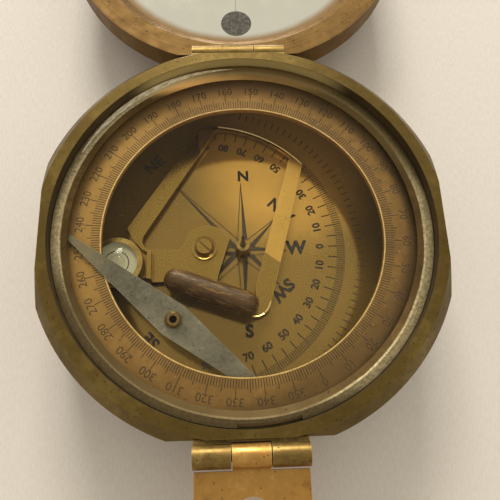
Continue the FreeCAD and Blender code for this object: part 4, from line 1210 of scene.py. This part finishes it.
class Instrument:
    """The CAD nodes of every sub-assembly, with their finishes."""

    def build(self) -> None:
        """Gives every node its finish."""
        plan: dict[Finish, Sequence[str]] = {
            Finishes.CASE: ("case_body", "pinion_bush"),
            Finishes.LID: ("lid_shell", "mirror_ring"),
            Finishes.BEZEL: ("bezel_ring",),
            Finishes.DIAL: ("dial_plate",),
            Finishes.RING: ("azimuth_ring",),
            Finishes.ARM: ("clinometer_frame", "vial_cradle", "arm_washer", "arm_screw",
                           "clinometer_lever"),
            Finishes.SIGHT: ("sight_arm", "tip_sight", "lid_sight", "lid_sight_leaf"),
            Finishes.HINGE: ("lid_hinge_case_leaf", "lid_hinge_lid_leaf", "sight_hinge_leaf",
                             "ring_pinion"),
            Finishes.POLISHED: ("pivot_post", "arbor_bush", "needle_hub", "bullseye_cup"),
            Finishes.STEEL: ("base_screws", "pivot_pin", "lid_hinge_pin", "case_hinge_screws",
                             "sight_hinge_pin", "clinometer_arbor", "spring_washer", "lever_screw",
                             "lid_hinge_screws", "lid_sight_pin", "tip_sight_pin"),
            Finishes.NEEDLE: ("compass_needle",),
            Finishes.MIRROR: ("mirror",),
            Finishes.CRYSTAL: ("crystal",),
            Finishes.DOME: ("bullseye_glass",),
            Finishes.CLOUDED: ("window_glass",),
            Finishes.JEWEL: ("needle_jewel",),
            Finishes.AMBER: ("vial_glass",),
            Finishes.SPIRIT: ("vial_filling",),
            Finishes.MILKY: ("bullseye_filling",),
            Finishes.FELT: ("mirror_backing",),
        }
        for finish, names in plan.items():
            for name in names:
                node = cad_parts[name]
                if not node.material_slots:
                    node.data.materials.append(None)
                for slot in node.material_slots:
                    slot.material = material_of(finish)
                LOG.info("dressed %s with %s", name, finish.name)


@dataclass
class Studio:
    """The table, the lamp, the room's light and the camera."""

    table_half: float = 900.0
    table_top: float = -0.02
    lamp_at: Triple = (-70.0, 900.0, 580.0)
    lamp_size: float = 420.0
    lamp_watts: float = 7.6
    lamp_tint: Triple = (1.0, 0.96, 0.9)
    sky_lean: Triple = (0.35, 0.94, 0.0)
    sky_step: Point = (-0.15, 0.5)
    clip: Point = (0.005, 10.0)
    focal_px: float = 551.2451
    eye: Triple = (-2.7376, -38.6046, 125.8952)
    pitch: float = 0.314
    yaw: float = -0.0349
    roll: float = 0.0254
    near_sky: Shade = (0.52, 0.475, 0.42, 1.0)
    far_sky: Shade = (0.78, 0.74, 0.65, 1.0)

    def build(self) -> None:
        """Makes the stage."""
        self.build_table()
        self.build_sky()
        self.build_lamp()
        self.build_camera()

    def build_table(self) -> None:
        """The pale table, under the case's base."""
        half = self.table_half
        mesh = bmesh.new()
        for x, y in ((-half, -half), (half, -half), (half, half), (-half, half)):
            mesh.verts.new(Vector((x, y, self.table_top)) * MM)
        mesh.faces.new(mesh.verts)
        table = mesh_object(mesh, "table", Finishes.TABLE)

    def build_sky(self) -> None:
        """Soft light from all round, dimmer overhead and behind the camera than beyond the lid."""
        world = bpy.data.worlds.new("room")
        world.use_nodes = True
        made = Tree(world.node_tree)
        way = made.add("ShaderNodeTexCoord").outputs["Generated"]
        share = made.ease(made.vector("DOT_PRODUCT", way, self.sky_lean), *self.sky_step)
        back = world.node_tree.nodes["Background"]
        made.feed(back.inputs["Color"], made.blend(share, self.near_sky, self.far_sky))
        back.inputs["Strength"].default_value = 1.0
        bpy.context.scene.world = world

    def build_lamp(self) -> None:
        """The window's light, a soft square lamp that points at the instrument."""
        light = bpy.data.lights.new("window_lamp", "AREA")
        light.size = self.lamp_size * MM
        light.energy = self.lamp_watts
        light.color = self.lamp_tint
        lamp = new_object("window_lamp", light)
        lamp.location = Vector(self.lamp_at) * MM
        lamp.rotation_mode = "QUATERNION"
        lamp.rotation_quaternion = (-Vector(self.lamp_at)).to_track_quat("-Z", "Y")

    def build_camera(self) -> None:
        """The camera, where the photograph was taken from."""
        data = bpy.data.cameras.new("camera")
        data.sensor_width = SENSOR_MM
        data.lens = self.focal_px * SENSOR_MM / IMAGE_PX
        data.clip_start, data.clip_end = self.clip
        camera = new_object("camera", data)
        turn = (Matrix.Rotation(self.roll, 3, "Z") @ Matrix.Rotation(-self.yaw, 3, "Y")
                @ Matrix.Rotation(-self.pitch, 3, "X"))
        camera.matrix_world = Matrix.Translation(Vector(self.eye) * MM) @ turn.transposed().to_4x4()
        bpy.context.scene.camera = camera


def main() -> None:
    """Builds and dresses every piece, then the stage."""
    logging.basicConfig(level=logging.INFO, format="%(name)s: %(message)s")
    bpy.context.scene.view_settings.view_transform = "Standard"
    for assembly in (Instrument, Dial, AzimuthScale, Levels, Glints, BoreFilm, MirrorLine, Studio):
        assembly().build()


if __name__ == "__main__":
    main()
